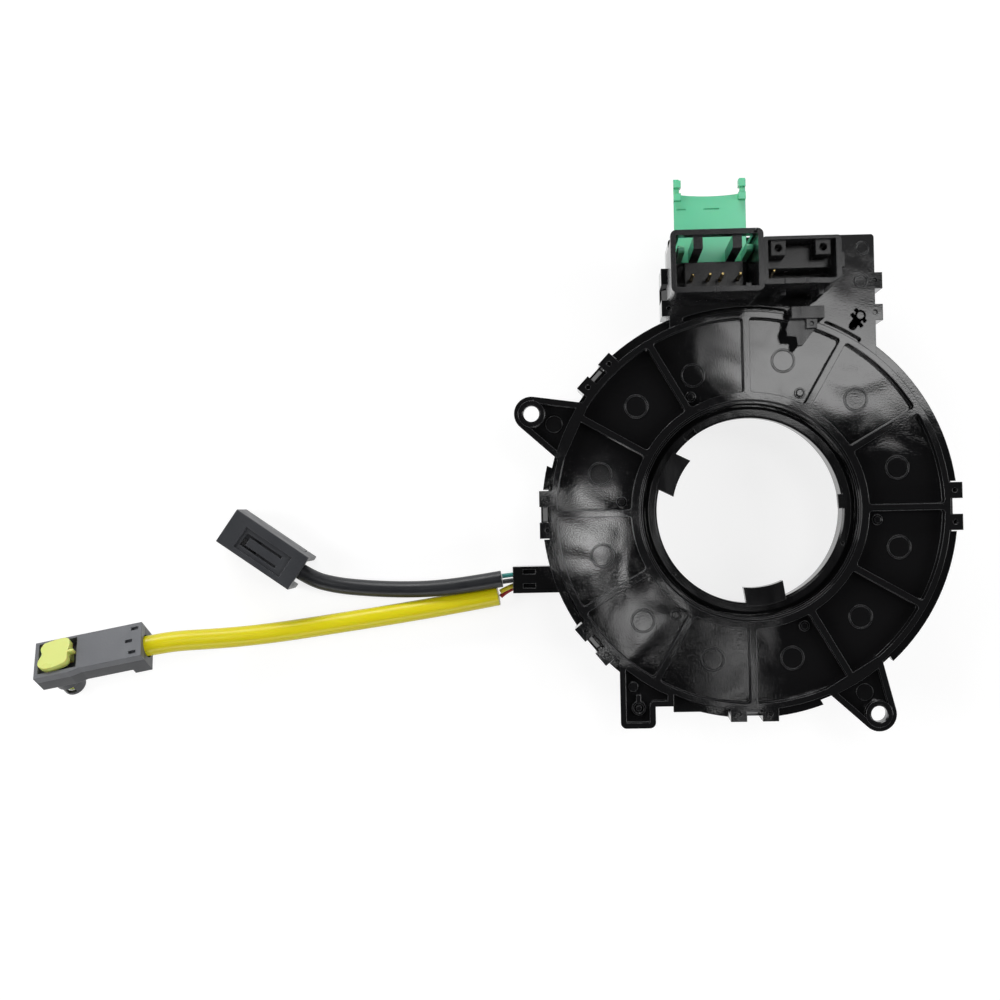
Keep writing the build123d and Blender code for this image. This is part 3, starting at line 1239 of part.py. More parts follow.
# Lock cap: a waisted yellow-green button in the window, with two legs into the body
cap_half = squib_window_width / 2 - running_gap
cap_length = squib_window_length - 2 * running_gap - squib_nub_length
cap_left = squib_window_center - squib_window_length / 2 + running_gap
cap_right = cap_left + cap_length
with BuildPart(squib_plane) as squib_plug_lock:
    with BuildSketch(squib_plane.offset(-squib_cap_sink)) as cap_outline:
        with BuildLine():
            Spline(
                (cap_left + cap_length * 0.24, cap_half * 0.88),
                (cap_left + cap_length * 0.62, cap_half),
                (cap_right - cap_length * 0.03, cap_half * 0.85),
                (cap_right - cap_length * 0.01, cap_half * 0.4),
                (cap_right - cap_length * 0.07, -cap_half * 0.2),
                (cap_right - cap_length * 0.07, -cap_half * 0.62),
                (cap_right - cap_length * 0.36, -cap_half * 0.93),
                (cap_left + cap_length * 0.36, -cap_half),
                (cap_left + cap_length * 0.05, -cap_half * 0.72),
                (cap_left + cap_length * 0.05, -cap_half * 0.3),
                (cap_left + cap_length * 0.14, cap_half * 0.1),
                (cap_left + cap_length * 0.1, cap_half * 0.5),
                periodic=True,
            )
        make_face()
        with Locations((cap_right - squib_nub_length, 0)):
            Rectangle(2 * squib_nub_length, squib_nub_width, align=(Align.MIN, Align.CENTER))
    extrude(amount=squib_cap_sink + squib_cap_height)
    with Locations(*[(*place, -squib_cap_sink) for place in leg_places]):
        Box(squib_leg_thickness, squib_leg_width,
            squib_cover_thickness - squib_cap_sink + squib_leg_depth - squib_cap_travel - running_gap,
            align=(Align.CENTER, Align.CENTER, Align.MAX))
write("squib_plug_lock", squib_plug_lock)

# Yellow collar inside the nose, seated on the floor of its bore
squib_bore_top = squib_body_bottom - squib_nose_floor
collar_outer = squib_tip_radius - squib_nose_wall - side_gap
with BuildPart(squib_plane) as squib_plug_collar:
    with Locations((squib_nose_offset, 0, squib_bore_top)):
        Cylinder(collar_outer, squib_collar_length, align=(Align.CENTER, Align.CENTER, Align.MAX))
        Cylinder(collar_outer - squib_collar_wall, squib_collar_length,
                 align=(Align.CENTER, Align.CENTER, Align.MAX), mode=Mode.SUBTRACT)
write("squib_plug_collar", squib_plug_collar)

for number, side in ((1, -1), (2, 1)):
    with BuildPart(squib_plane) as squib_terminal:
        with Locations((squib_nose_offset, side * squib_terminal_pitch / 2, squib_bore_top)):
            Cylinder(squib_terminal_radius, squib_terminal_length,
                     align=(Align.CENTER, Align.CENTER, Align.MAX))
    write(f"squib_terminal_{number}", squib_terminal)

# Ferrite block on the floor of the hollow, with a hole for each lead
ferrite_floor = -squib_cover_thickness - squib_cavity_depth
ferrite_x = (squib_cavity_start + squib_cavity_end) / 2
with BuildPart(squib_plane) as squib_ferrite:
    with Locations((ferrite_x, 0, ferrite_floor)):
        Box(ferrite_length, ferrite_width, ferrite_height, align=(Align.CENTER, Align.CENTER, Align.MIN))
        with Locations(*[Location((0, side * squib_terminal_pitch / 2, ferrite_height / 2), (0, 90, 0))
                         for side in (-1, 1)]):
            Cylinder(ferrite_hole_radius, 2 * ferrite_length, mode=Mode.SUBTRACT)
write("squib_ferrite", squib_ferrite)
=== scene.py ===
"""Looks of a steering clock spring: finishes, harness, moulding marks, studio and camera.

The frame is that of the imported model: +Z along the column axis, +Y towards the connector bracket, -X towards
the harness. Blender works in metres. Sizes and routes of the marks, the leads and the camera are written in
millimetres and turned into metres by MM.
"""

import logging
import math
from dataclasses import dataclass, field
from enum import Enum
from typing import Any, ClassVar

import bpy
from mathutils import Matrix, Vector

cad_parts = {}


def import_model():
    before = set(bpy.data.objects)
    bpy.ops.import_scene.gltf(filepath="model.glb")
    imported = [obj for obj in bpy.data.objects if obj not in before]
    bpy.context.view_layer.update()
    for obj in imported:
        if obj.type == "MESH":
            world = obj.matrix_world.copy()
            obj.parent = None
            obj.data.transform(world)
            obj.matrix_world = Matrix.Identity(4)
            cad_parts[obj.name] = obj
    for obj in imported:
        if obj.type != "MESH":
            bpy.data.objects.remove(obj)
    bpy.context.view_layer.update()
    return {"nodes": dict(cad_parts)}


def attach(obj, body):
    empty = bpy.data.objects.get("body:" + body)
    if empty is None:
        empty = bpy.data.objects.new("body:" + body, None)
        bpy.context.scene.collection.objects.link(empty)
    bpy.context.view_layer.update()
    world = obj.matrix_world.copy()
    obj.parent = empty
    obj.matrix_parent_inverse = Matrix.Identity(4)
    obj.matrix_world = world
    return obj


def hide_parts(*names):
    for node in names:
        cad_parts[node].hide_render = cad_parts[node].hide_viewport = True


MM = 0.001
Colour = tuple[float, float, float, float]
Point = tuple[float, float, float]
log = logging.getLogger("clock_spring")


class SocketKind(Enum):
    """Socket types that the node groups use."""

    VALUE = "NodeSocketFloat"
    VECTOR = "NodeSocketVector"
    GEOMETRY = "NodeSocketGeometry"
    WHOLE = "NodeSocketInt"
    MATERIAL = "NodeSocketMaterial"


class Body(Enum):
    """Bodies of the part that carry pieces made here."""

    STATOR = "stator"
    ROTOR = "rotor"


def rgb(red: float, green: float, blue: float) -> Colour:
    """Linear colour with full alpha."""
    return (red, green, blue, 1.0)


class Board:
    """A node tree with short ways to add and join its nodes."""

    def __init__(self, tree: bpy.types.NodeTree) -> None:
        """Keeps the tree.

        Args:
            tree: the node tree that the board works on.
        """
        self.tree = tree

    def add(self, kind: str, **settings: Any) -> bpy.types.Node:
        """Adds a node and sets its properties.

        Args:
            kind: Blender's identifier of the node.
            settings: properties by name.

        Returns:
            The new node.
        """
        node = self.tree.nodes.new(kind)
        for name, value in settings.items():
            setattr(node, name, value)
        return node

    def join(self, source: bpy.types.NodeSocket, target: bpy.types.NodeSocket) -> None:
        """Links two sockets."""
        self.tree.links.new(source, target)

    def math(self, operation: str, first: Any, second: Any) -> bpy.types.NodeSocket:
        """Adds a Math node.

        Args:
            operation: the Math node's operation.
            first: a socket or a number.
            second: a socket or a number.

        Returns:
            The node's output socket.
        """
        node = self.add("ShaderNodeMath", operation=operation)
        for slot, value in enumerate((first, second)):
            if isinstance(value, bpy.types.NodeSocket):
                self.join(value, node.inputs[slot])
            else:
                node.inputs[slot].default_value = value
        return node.outputs[0]

    def spread(self, value: bpy.types.NodeSocket, low: float, high: float,
               out_low: float = 0.0, out_high: float = 1.0) -> bpy.types.NodeSocket:
        """Maps a value from one range to another, clamped.

        Args:
            value: the socket to read.
            low: input that gives out_low.
            high: input that gives out_high.
            out_low: output at low.
            out_high: output at high.

        Returns:
            The mapped value's socket.
        """
        node = self.add("ShaderNodeMapRange")
        self.join(value, node.inputs["Value"])
        node.inputs["From Min"].default_value = low
        node.inputs["From Max"].default_value = high
        node.inputs["To Min"].default_value = out_low
        node.inputs["To Max"].default_value = out_high
        return node.outputs["Result"]

    def blend(self, mask: bpy.types.NodeSocket, first: Any, second: Any) -> bpy.types.NodeSocket:
        """Mixes two colours by a mask.

        Args:
            mask: 0 gives the first colour, 1 the second.
            first: a socket or a colour.
            second: a socket or a colour.

        Returns:
            The mixed colour's socket.
        """
        node = self.add("ShaderNodeMix", data_type="RGBA")
        self.join(mask, node.inputs["Factor"])
        for slot, value in ((6, first), (7, second)):
            if isinstance(value, bpy.types.NodeSocket):
                self.join(value, node.inputs[slot])
            else:
                node.inputs[slot].default_value = value
        return node.outputs[2]


class SurfaceGroups:
    """Shader node groups that several finishes share, each built once."""

    WAVE_DETAIL: ClassVar[float] = 1.5
    WAVE_SWIRL: ClassVar[float] = 0.5
    GRAIN_DETAIL: ClassVar[float] = 3.0
    STREAK_STRETCH: ClassVar[Point] = (1.0, 0.25, 1.0)
    STREAK_SCALE: ClassVar[float] = 260.0
    STREAK_DETAIL: ClassVar[float] = 4.0
    STREAK_RANGE: ClassVar[tuple[float, float]] = (0.3, 0.7)
    DUST_DETAIL: ClassVar[float] = 5.0
    DUST_RANGE: ClassVar[tuple[float, float]] = (0.56, 0.72)
    DUST_SLOPE: ClassVar[tuple[float, float]] = (0.3, 1.0)

    def __init__(self) -> None:
        """Builds the groups."""
        self.mould = self._mould_skin()
        self.edge = self._edge_wear_and_painted_light()
        self.dust = self._dust()

    @staticmethod
    def _new(name: str, inputs: dict[str, float], outputs: dict[str, SocketKind],
             ) -> tuple[bpy.types.NodeTree, bpy.types.Node, bpy.types.Node, Board]:
        """Starts a shader group with value inputs.

        Args:
            name: name of the group.
            inputs: value inputs and their defaults.
            outputs: outputs and their kinds.

        Returns:
            The group, its input node, its output node and its board.
        """
        group = bpy.data.node_groups.new(name, "ShaderNodeTree")
        for label, default in inputs.items():
            socket = group.interface.new_socket(name=label, in_out="INPUT",
                                                socket_type=SocketKind.VALUE.value)
            socket.default_value = default
        for label, kind in outputs.items():
            group.interface.new_socket(name=label, in_out="OUTPUT", socket_type=kind.value)
        board = Board(group)
        return group, board.add("NodeGroupInput"), board.add("NodeGroupOutput"), board

    def _mould_skin(self) -> bpy.types.NodeTree:
        """Skin of a moulded plastic: slow sink waves, flow streaks and a fine grain.

        Returns:
            The group, with a height and a 0 to 1 variation.
        """
        group, source, result, board = self._new(
            "mould_skin",
            {"Wave Scale": 60.0, "Wave Depth": 1.0, "Grain Scale": 2500.0, "Grain Depth": 0.2},
            {"Height": SocketKind.VALUE, "Variation": SocketKind.VALUE},
        )
        place = board.add("ShaderNodeTexCoord").outputs["Object"]
        wave = board.add("ShaderNodeTexNoise")
        grain = board.add("ShaderNodeTexNoise")
        for node, scale, detail in ((wave, "Wave Scale", self.WAVE_DETAIL),
                                    (grain, "Grain Scale", self.GRAIN_DETAIL)):
            board.join(place, node.inputs["Vector"])
            board.join(source.outputs[scale], node.inputs["Scale"])
            node.inputs["Detail"].default_value = detail
        wave.inputs["Distortion"].default_value = self.WAVE_SWIRL
        streak_place = board.add("ShaderNodeMapping")
        streak_place.inputs["Scale"].default_value = self.STREAK_STRETCH
        board.join(place, streak_place.inputs["Vector"])
        streak = board.add("ShaderNodeTexNoise")
        streak.inputs["Scale"].default_value = self.STREAK_SCALE
        streak.inputs["Detail"].default_value = self.STREAK_DETAIL
        board.join(streak_place.outputs["Vector"], streak.inputs["Vector"])
        waves = board.math("MULTIPLY", wave.outputs["Fac"], source.outputs["Wave Depth"])
        grains = board.math("MULTIPLY", grain.outputs["Fac"], source.outputs["Grain Depth"])
        board.join(board.math("ADD", waves, grains), result.inputs["Height"])
        board.join(board.spread(streak.outputs["Fac"], *self.STREAK_RANGE), result.inputs["Variation"])
        return group

    def _edge_wear_and_painted_light(self) -> bpy.types.NodeTree:
        """Rounded edge normals, and a mask that is bright along edges, where a finish paints on its edge
        colour: partly wear, partly painted light (a painted highlight where that colour is lighter, a painted
        shade where it is darker).

        Returns:
            The group, with a normal and a mask.
        """
        group, source, result, board = self._new(
            "edge_wear_and_painted_light",
            {"Radius": 0.25 * MM, "Gain": 4.0},
            {"Normal": SocketKind.VECTOR, "Mask": SocketKind.VALUE},
        )
        bevel = board.add("ShaderNodeBevel", samples=4)
        board.join(source.outputs["Radius"], bevel.inputs["Radius"])
        flat = board.add("ShaderNodeNewGeometry").outputs["Normal"]
        dot = board.add("ShaderNodeVectorMath", operation="DOT_PRODUCT")
        board.join(bevel.outputs["Normal"], dot.inputs[0])
        board.join(flat, dot.inputs[1])
        bend = board.math("SUBTRACT", 1.0, dot.outputs["Value"])
        scaled = board.math("MULTIPLY", bend, source.outputs["Gain"])
        board.join(board.spread(scaled, 0.0, 1.0), result.inputs["Mask"])
        board.join(bevel.outputs["Normal"], result.inputs["Normal"])
        return group

    def _dust(self) -> bpy.types.NodeTree:
        """Fine dust that settles on faces that look up.

        Returns:
            The group, with a mask.
        """
        group, source, result, board = self._new(
            "dust",
            {"Scale": 2400.0, "Amount": 0.01},
            {"Mask": SocketKind.VALUE},
        )
        noise = board.add("ShaderNodeTexNoise")
        noise.inputs["Detail"].default_value = self.DUST_DETAIL
        board.join(board.add("ShaderNodeTexCoord").outputs["Object"], noise.inputs["Vector"])
        board.join(source.outputs["Scale"], noise.inputs["Scale"])
        speck = board.spread(noise.outputs["Fac"], *self.DUST_RANGE)
        split = board.add("ShaderNodeSeparateXYZ")
        board.join(board.add("ShaderNodeNewGeometry").outputs["Normal"], split.inputs["Vector"])
        upward = board.spread(split.outputs["Z"], *self.DUST_SLOPE)
        lying = board.math("MULTIPLY", speck, upward)
        board.join(board.math("MULTIPLY", lying, source.outputs["Amount"]), result.inputs["Mask"])
        return group


@dataclass(frozen=True)
class Finish:
    """A moulded, drawn or plated surface."""

    DUST_COLOUR: ClassVar[Colour] = rgb(0.45, 0.44, 0.42)
    LEAST_ROUGHNESS: ClassVar[float] = 0.02
    BUMP_DISTANCE: ClassVar[float] = 0.1 * MM
    GLOW_DISTANCE: ClassVar[float] = 1.0 * MM

    name: str
    colour: Colour
    roughness: float
    # Edge colour: partly wear, partly painted light. Where it is lighter than the colour it is a painted
    # highlight standing in for the sheen of rounded edges; where it is darker it is a painted shade.
    edge_painted_light_and_wear: Colour = rgb(0.06, 0.06, 0.065)
    roughness_spread: float = 0.06
    wave_scale: float = 60.0
    wave_depth: float = 1.0
    grain_scale: float = 2500.0
    grain_depth: float = 0.15
    bump: float = 0.25
    edge_radius: float = 0.25 * MM
    edge_gain: float = 1.6
    dust_amount: float = 0.008
    metallic: float = 0.0
    transmission: float = 0.0
    subsurface: float = 0.0
    ior: float = 1.5

    def build(self, groups: SurfaceGroups) -> bpy.types.Material:
        """Builds the material.

        Args:
            groups: the shared shader groups.

        Returns:
            The finished material.
        """
        material = bpy.data.materials.new(self.name)
        material.use_nodes = True
        board = Board(material.node_tree)
        shader = material.node_tree.nodes["Principled BSDF"]
        shader.inputs["Metallic"].default_value = self.metallic
        shader.inputs["IOR"].default_value = self.ior
        shader.inputs["Transmission Weight"].default_value = self.transmission
        shader.inputs["Subsurface Weight"].default_value = self.subsurface
        shader.inputs["Subsurface Scale"].default_value = self.GLOW_DISTANCE
        skin = board.add("ShaderNodeGroup", node_tree=groups.mould)
        skin.inputs["Wave Scale"].default_value = self.wave_scale
        skin.inputs["Wave Depth"].default_value = self.wave_depth
        skin.inputs["Grain Scale"].default_value = self.grain_scale
        skin.inputs["Grain Depth"].default_value = self.grain_depth
        edge = board.add("ShaderNodeGroup", node_tree=groups.edge)
        edge.inputs["Radius"].default_value = self.edge_radius
        edge.inputs["Gain"].default_value = self.edge_gain
        dust = board.add("ShaderNodeGroup", node_tree=groups.dust)
        dust.inputs["Amount"].default_value = self.dust_amount
        # Painted light: edges are mixed towards the edge colour, a painted highlight along rounded edges (a
        # painted shade where that colour is darker), partly also wear.
        edge_painted_light_and_wear = board.blend(edge.outputs["Mask"], self.colour, self.edge_painted_light_and_wear)
        dusty = board.blend(dust.outputs["Mask"], edge_painted_light_and_wear, self.DUST_COLOUR)
        board.join(dusty, shader.inputs["Base Color"])
        low = max(self.roughness - self.roughness_spread, self.LEAST_ROUGHNESS)
        high = self.roughness + self.roughness_spread
        rough = board.spread(skin.outputs["Variation"], 0.0, 1.0, low, high)
        board.join(board.math("ADD", rough, dust.outputs["Mask"]), shader.inputs["Roughness"])
        bump = board.add("ShaderNodeBump")
        bump.inputs["Strength"].default_value = self.bump
        bump.inputs["Distance"].default_value = self.BUMP_DISTANCE
        board.join(skin.outputs["Height"], bump.inputs["Height"])
        board.join(edge.outputs["Normal"], bump.inputs["Normal"])
        board.join(bump.outputs["Normal"], shader.inputs["Normal"])
        return material


# The edge colours below are painted light along edges: the lighter ones are painted highlights, the darker
# green one a painted shade; partly they are also wear.
CASE = Finish("case_plastic", rgb(0.008, 0.008, 0.0085), 0.03, roughness_spread=0.01, wave_scale=52.0,
              wave_depth=5.0, bump=0.6, edge_painted_light_and_wear=rgb(0.09, 0.09, 0.095), edge_gain=2.2)
CASE_SATIN = Finish("rotor_plastic", rgb(0.006, 0.006, 0.0065), 0.12, wave_scale=70.0, wave_depth=3.0,
                    edge_painted_light_and_wear=rgb(0.03, 0.03, 0.032))
CONNECTOR = Finish("connector_plastic", rgb(0.008, 0.008, 0.009), 0.22, grain_depth=0.4,
                   edge_painted_light_and_wear=rgb(0.035, 0.035, 0.038))
PLUG = Finish("plug_plastic", rgb(0.034, 0.036, 0.041), 0.42, grain_depth=0.9, grain_scale=1800.0,
              edge_painted_light_and_wear=rgb(0.12, 0.12, 0.13), edge_gain=2.0)
# Painted light: the plug plastic made lighter, so that the cover's top, tilted towards the lamps, reads lit
# against the darker housing.
PLUG_COVER_PAINTED_LIT = Finish("plug_cover_painted_lit_plastic", rgb(0.115, 0.120, 0.132), 0.42, grain_depth=0.9,
                    grain_scale=1800.0, edge_painted_light_and_wear=rgb(0.12, 0.12, 0.13))
GREEN = Finish("green_lock_plastic", rgb(0.17, 0.76, 0.44), 0.2, edge_painted_light_and_wear=rgb(0.02, 0.42, 0.17),
               transmission=0.12, subsurface=0.2, grain_depth=0.1, dust_amount=0.002)
YELLOW_CAP = Finish("yellow_plastic", rgb(0.70, 0.76, 0.20), 0.3, edge_painted_light_and_wear=rgb(0.9, 0.92, 0.3),
                    subsurface=0.15, dust_amount=0.002)
GOLD = Finish("gold_contact", rgb(0.83, 0.62, 0.25), 0.2, edge_painted_light_and_wear=rgb(0.95, 0.8, 0.45), metallic=1.0,
              edge_radius=0.08 * MM, dust_amount=0.0)
TIN = Finish("tin_contact", rgb(0.62, 0.62, 0.62), 0.25, edge_painted_light_and_wear=rgb(0.8, 0.8, 0.8), metallic=1.0,
             edge_radius=0.08 * MM, dust_amount=0.0)
SLIDE = Finish("slide_film", rgb(0.6, 0.6, 0.57), 0.4, edge_painted_light_and_wear=rgb(0.7, 0.7, 0.68))
RIBBON = Finish("ribbon_film", rgb(0.7, 0.7, 0.67), 0.3, edge_painted_light_and_wear=rgb(0.8, 0.8, 0.78))
FERRITE = Finish("ferrite_block", rgb(0.05, 0.05, 0.052), 0.6, grain_depth=1.5, grain_scale=1200.0)
BLACK_SLEEVE = Finish("black_sleeving", rgb(0.014, 0.015, 0.018), 0.4, edge_painted_light_and_wear=rgb(0.05, 0.05, 0.055),
                      wave_scale=120.0, wave_depth=0.8, grain_depth=0.6)
YELLOW_SLEEVE = Finish("yellow_sleeving", rgb(0.80, 0.70, 0.004), 0.36, edge_painted_light_and_wear=rgb(0.88, 0.82, 0.1),
                       wave_scale=90.0, wave_depth=1.2, grain_depth=0.5, subsurface=0.1, dust_amount=0.004)
TEAL_WIRE = Finish("teal_insulation", rgb(0.03, 0.30, 0.27), 0.35, edge_painted_light_and_wear=rgb(0.1, 0.4, 0.36))
BROWN_WIRE = Finish("brown_insulation", rgb(0.015, 0.015, 0.017), 0.35)
AMBER_WIRE = Finish("amber_insulation", rgb(0.72, 0.6, 0.01), 0.35, edge_painted_light_and_wear=rgb(0.8, 0.7, 0.1))
RED_WIRE = Finish("red_insulation", rgb(0.42, 0.02, 0.02), 0.35, edge_painted_light_and_wear=rgb(0.5, 0.1, 0.1))

NODE_FINISHES: dict[str, Finish] = {
    "column_plate": CASE,
    "case_ring": CASE,
    "rotor": CASE_SATIN,
    "rotor_ring": CASE_SATIN,
    "wire_holder": CASE,
    "wire_cover": CASE,
    "main_connector": CONNECTOR,
    "aux_connector": CONNECTOR,
    "harness_clip": CONNECTOR,
    "stator_terminal_block": CONNECTOR,
    "rotor_terminal_block": CONNECTOR,
    "main_pin_1": GOLD,
    "main_pin_2": GOLD,
    "main_pin_3": GOLD,
    "main_pin_4": GOLD,
    "aux_pin": GOLD,
    "shorting_clip_1": GOLD,
    "shorting_clip_2": GOLD,
    "green_lock": GREEN,
    "slide_ring": SLIDE,
    "ribbon_cable": RIBBON,
    "horn_plug_housing": PLUG,
    "horn_plug_retainer": PLUG,
    "horn_terminal_1": TIN,
    "horn_terminal_2": TIN,
    "squib_plug_housing": PLUG,
    "squib_plug_cover": PLUG_COVER_PAINTED_LIT,
    "squib_plug_collar": YELLOW_CAP,
    "squib_plug_lock": YELLOW_CAP,
    "squib_ferrite": FERRITE,
    "squib_terminal_1": TIN,
    "squib_terminal_2": TIN,
}


class Wardrobe:
    """Builds each finish once and dresses objects with it."""

    def __init__(self) -> None:
        """Builds the shared groups."""
        self.groups = SurfaceGroups()
        self.made: dict[str, bpy.types.Material] = {}

    def material(self, finish: Finish) -> bpy.types.Material:
        """Gives the material of a finish, built at its first use.

        Args:
            finish: the finish to look up.

        Returns:
            The finish's material.
        """
        if finish.name not in self.made:
            self.made[finish.name] = finish.build(self.groups)
        return self.made[finish.name]

    def dress(self, piece: bpy.types.Object, finish: Finish) -> None:
        """Puts a finish on every slot of a piece.

        Args:
            piece: the object to dress.
            finish: the finish to put on it.
        """
        material = self.material(finish)
        if not piece.material_slots:
            piece.data.materials.append(material)
        for slot in piece.material_slots:
            slot.material = material


@dataclass
class MouldingMarks:
    """Round marks that the mould leaves on the plate: flat ejector pads in the pockets and gate stubs.

    Lengths are in millimetres and angles in degrees, counted from +X.
    """

    wardrobe: Wardrobe
    collar_radius: float = 29.7
    pocket_floor: float = 21.2
    pad_reach: float = 9.0
    pad_angles: tuple[float, ...] = (15, 45, 76, 136, 165, 196, 225, 255, 285, 315, 345)
    odd_pad: tuple[float, float] = (36.9, 111.3)
    pad_radius: float = 2.6
    pad_rise: float = 0.03
    pad_chamfer: float = 0.05
    stub_reach: float = 2.5
    stub_height: float = 0.5
    stub_angles: tuple[float, ...] = (175.0, 116.0, 65.5, 354.6, 294.2, 233.7)
    stub_radius: float = 1.15
    stub_rise: float = 0.25
    stub_chamfer: float = 0.35
    sunk: float = 0.1
    segments: int = 48

    def build(self) -> None:
        """Makes both sets of marks on the stator."""
        tree = self._tree()
        pads = [self._place(self.collar_radius + self.pad_reach, angle, self.pocket_floor)
                for angle in self.pad_angles]
        pads.append(self._place(*self.odd_pad, self.pocket_floor))
        stub_foot = self.pocket_floor + self.stub_height
        stubs = [self._place(self.collar_radius + self.stub_reach, angle, stub_foot)
                 for angle in self.stub_angles]
        self._scatter("ejector_pads", tree, pads, self.pad_radius, self.pad_rise, self.pad_chamfer)
        self._scatter("gate_stubs", tree, stubs, self.stub_radius, self.stub_rise, self.stub_chamfer)

    @staticmethod
    def _place(radius: float, angle: float, height: float) -> Point:
        """Point in metres at a radius, an angle in degrees and a height."""
        turn = math.radians(angle)
        return (radius * math.cos(turn) * MM, radius * math.sin(turn) * MM, height * MM)

    def _tree(self) -> bpy.types.NodeTree:
        """Geometry tree that sets a low chamfered disc on every point.

        Returns:
            The tree, with inputs Radius, Top Radius, Depth, Segments and Finish.
        """
        tree = bpy.data.node_groups.new("round_marks", "GeometryNodeTree")
        face = tree.interface
        face.new_socket(name="Points", in_out="INPUT", socket_type=SocketKind.GEOMETRY.value)
        for label in ("Radius", "Top Radius", "Depth"):
            face.new_socket(name=label, in_out="INPUT", socket_type=SocketKind.VALUE.value)
        face.new_socket(name="Segments", in_out="INPUT", socket_type=SocketKind.WHOLE.value)
        face.new_socket(name="Finish", in_out="INPUT", socket_type=SocketKind.MATERIAL.value)
        face.new_socket(name="Marks", in_out="OUTPUT", socket_type=SocketKind.GEOMETRY.value)
        board = Board(tree)
        source = board.add("NodeGroupInput").outputs
        disc = board.add("GeometryNodeMeshCone", fill_type="NGON")
        board.join(source["Segments"], disc.inputs["Vertices"])
        board.join(source["Radius"], disc.inputs["Radius Bottom"])
        board.join(source["Top Radius"], disc.inputs["Radius Top"])
        board.join(source["Depth"], disc.inputs["Depth"])
        scatter = board.add("GeometryNodeInstanceOnPoints")
        board.join(source["Points"], scatter.inputs["Points"])
        board.join(disc.outputs["Mesh"], scatter.inputs["Instance"])
        real = board.add("GeometryNodeRealizeInstances")
        board.join(scatter.outputs["Instances"], real.inputs["Geometry"])
        paint = board.add("GeometryNodeSetMaterial")
        board.join(real.outputs["Geometry"], paint.inputs["Geometry"])
        board.join(source["Finish"], paint.inputs["Material"])
        board.join(paint.outputs["Geometry"], board.add("NodeGroupOutput").inputs["Marks"])
        return tree

    def _scatter(self, name: str, tree: bpy.types.NodeTree, places: list[Point], radius: float,
                 rise: float, chamfer: float) -> None:
        """Runs the tree on a set of points and keeps the result as a plain mesh.

        Args:
            name: name of the piece.
            tree: the geometry tree.
            places: the points in metres, on the surface that carries the marks.
            radius: radius of a mark in millimetres.
            rise: height of a mark in millimetres.
            chamfer: how much smaller its top is, in millimetres.
        """
        seeds = bpy.data.meshes.new(f"{name}_points")
        seeds.from_pydata([(x, y, z - self.sunk * MM) for x, y, z in places], [], [])
        host = bpy.data.objects.new(f"{name}_points", seeds)
        bpy.context.scene.collection.objects.link(host)
        modifier = host.modifiers.new("marks", "NODES")
        modifier.node_group = tree
        values = {
            "Radius": radius * MM,
            "Top Radius": (radius - chamfer) * MM,
            "Depth": (rise + self.sunk) * MM,
            "Segments": self.segments,
            "Finish": self.wardrobe.material(CASE),
        }
        for label, value in values.items():
            modifier[tree.interface.items_tree[label].identifier] = value
        ready = host.evaluated_get(bpy.context.evaluated_depsgraph_get())
        piece = bpy.data.objects.new(name, bpy.data.meshes.new_from_object(ready))
        bpy.data.objects.remove(host)
        bpy.context.scene.collection.objects.link(piece)
        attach(piece, Body.STATOR.value)
        log.info("%s: %d marks", name, len(places))


@dataclass
class Lead:
    """One sleeve or wire of the harness: its route in millimetres, as in the part's source."""

    node: str
    slot: str
    finish: Finish
    radius: float
    route: list[Point]

    def build(self, wardrobe: Wardrobe) -> bpy.types.Object:
        """Makes the lead as a round NURBS curve that stands for its CAD solid.

        Args:
            wardrobe: gives the material.

        Returns:
            The curve object.
        """
        curve = bpy.data.curves.new(f"{self.node}_line", "CURVE")
        curve.dimensions = "3D"
        curve.bevel_depth = self.radius * MM
        curve.bevel_resolution = 8
        curve.use_fill_caps = True
        spline = curve.splines.new("NURBS")
        spline.points.add(len(self.route) - 1)
        for point, place in zip(spline.points, self.route):
            point.co = (*(value * MM for value in place), 1.0)
        spline.order_u = 3
        spline.use_endpoint_u = True
        spline.resolution_u = 12
        piece = bpy.data.objects.new(f"{self.node}_look", curve)
        bpy.context.scene.collection.objects.link(piece)
        wardrobe.dress(piece, self.finish)
        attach(piece, Body.ROTOR.value)
        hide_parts(self.node)
        log.info("%s: %d route points", piece.name, len(self.route))
        return piece


WIRE_START_X = -56.0


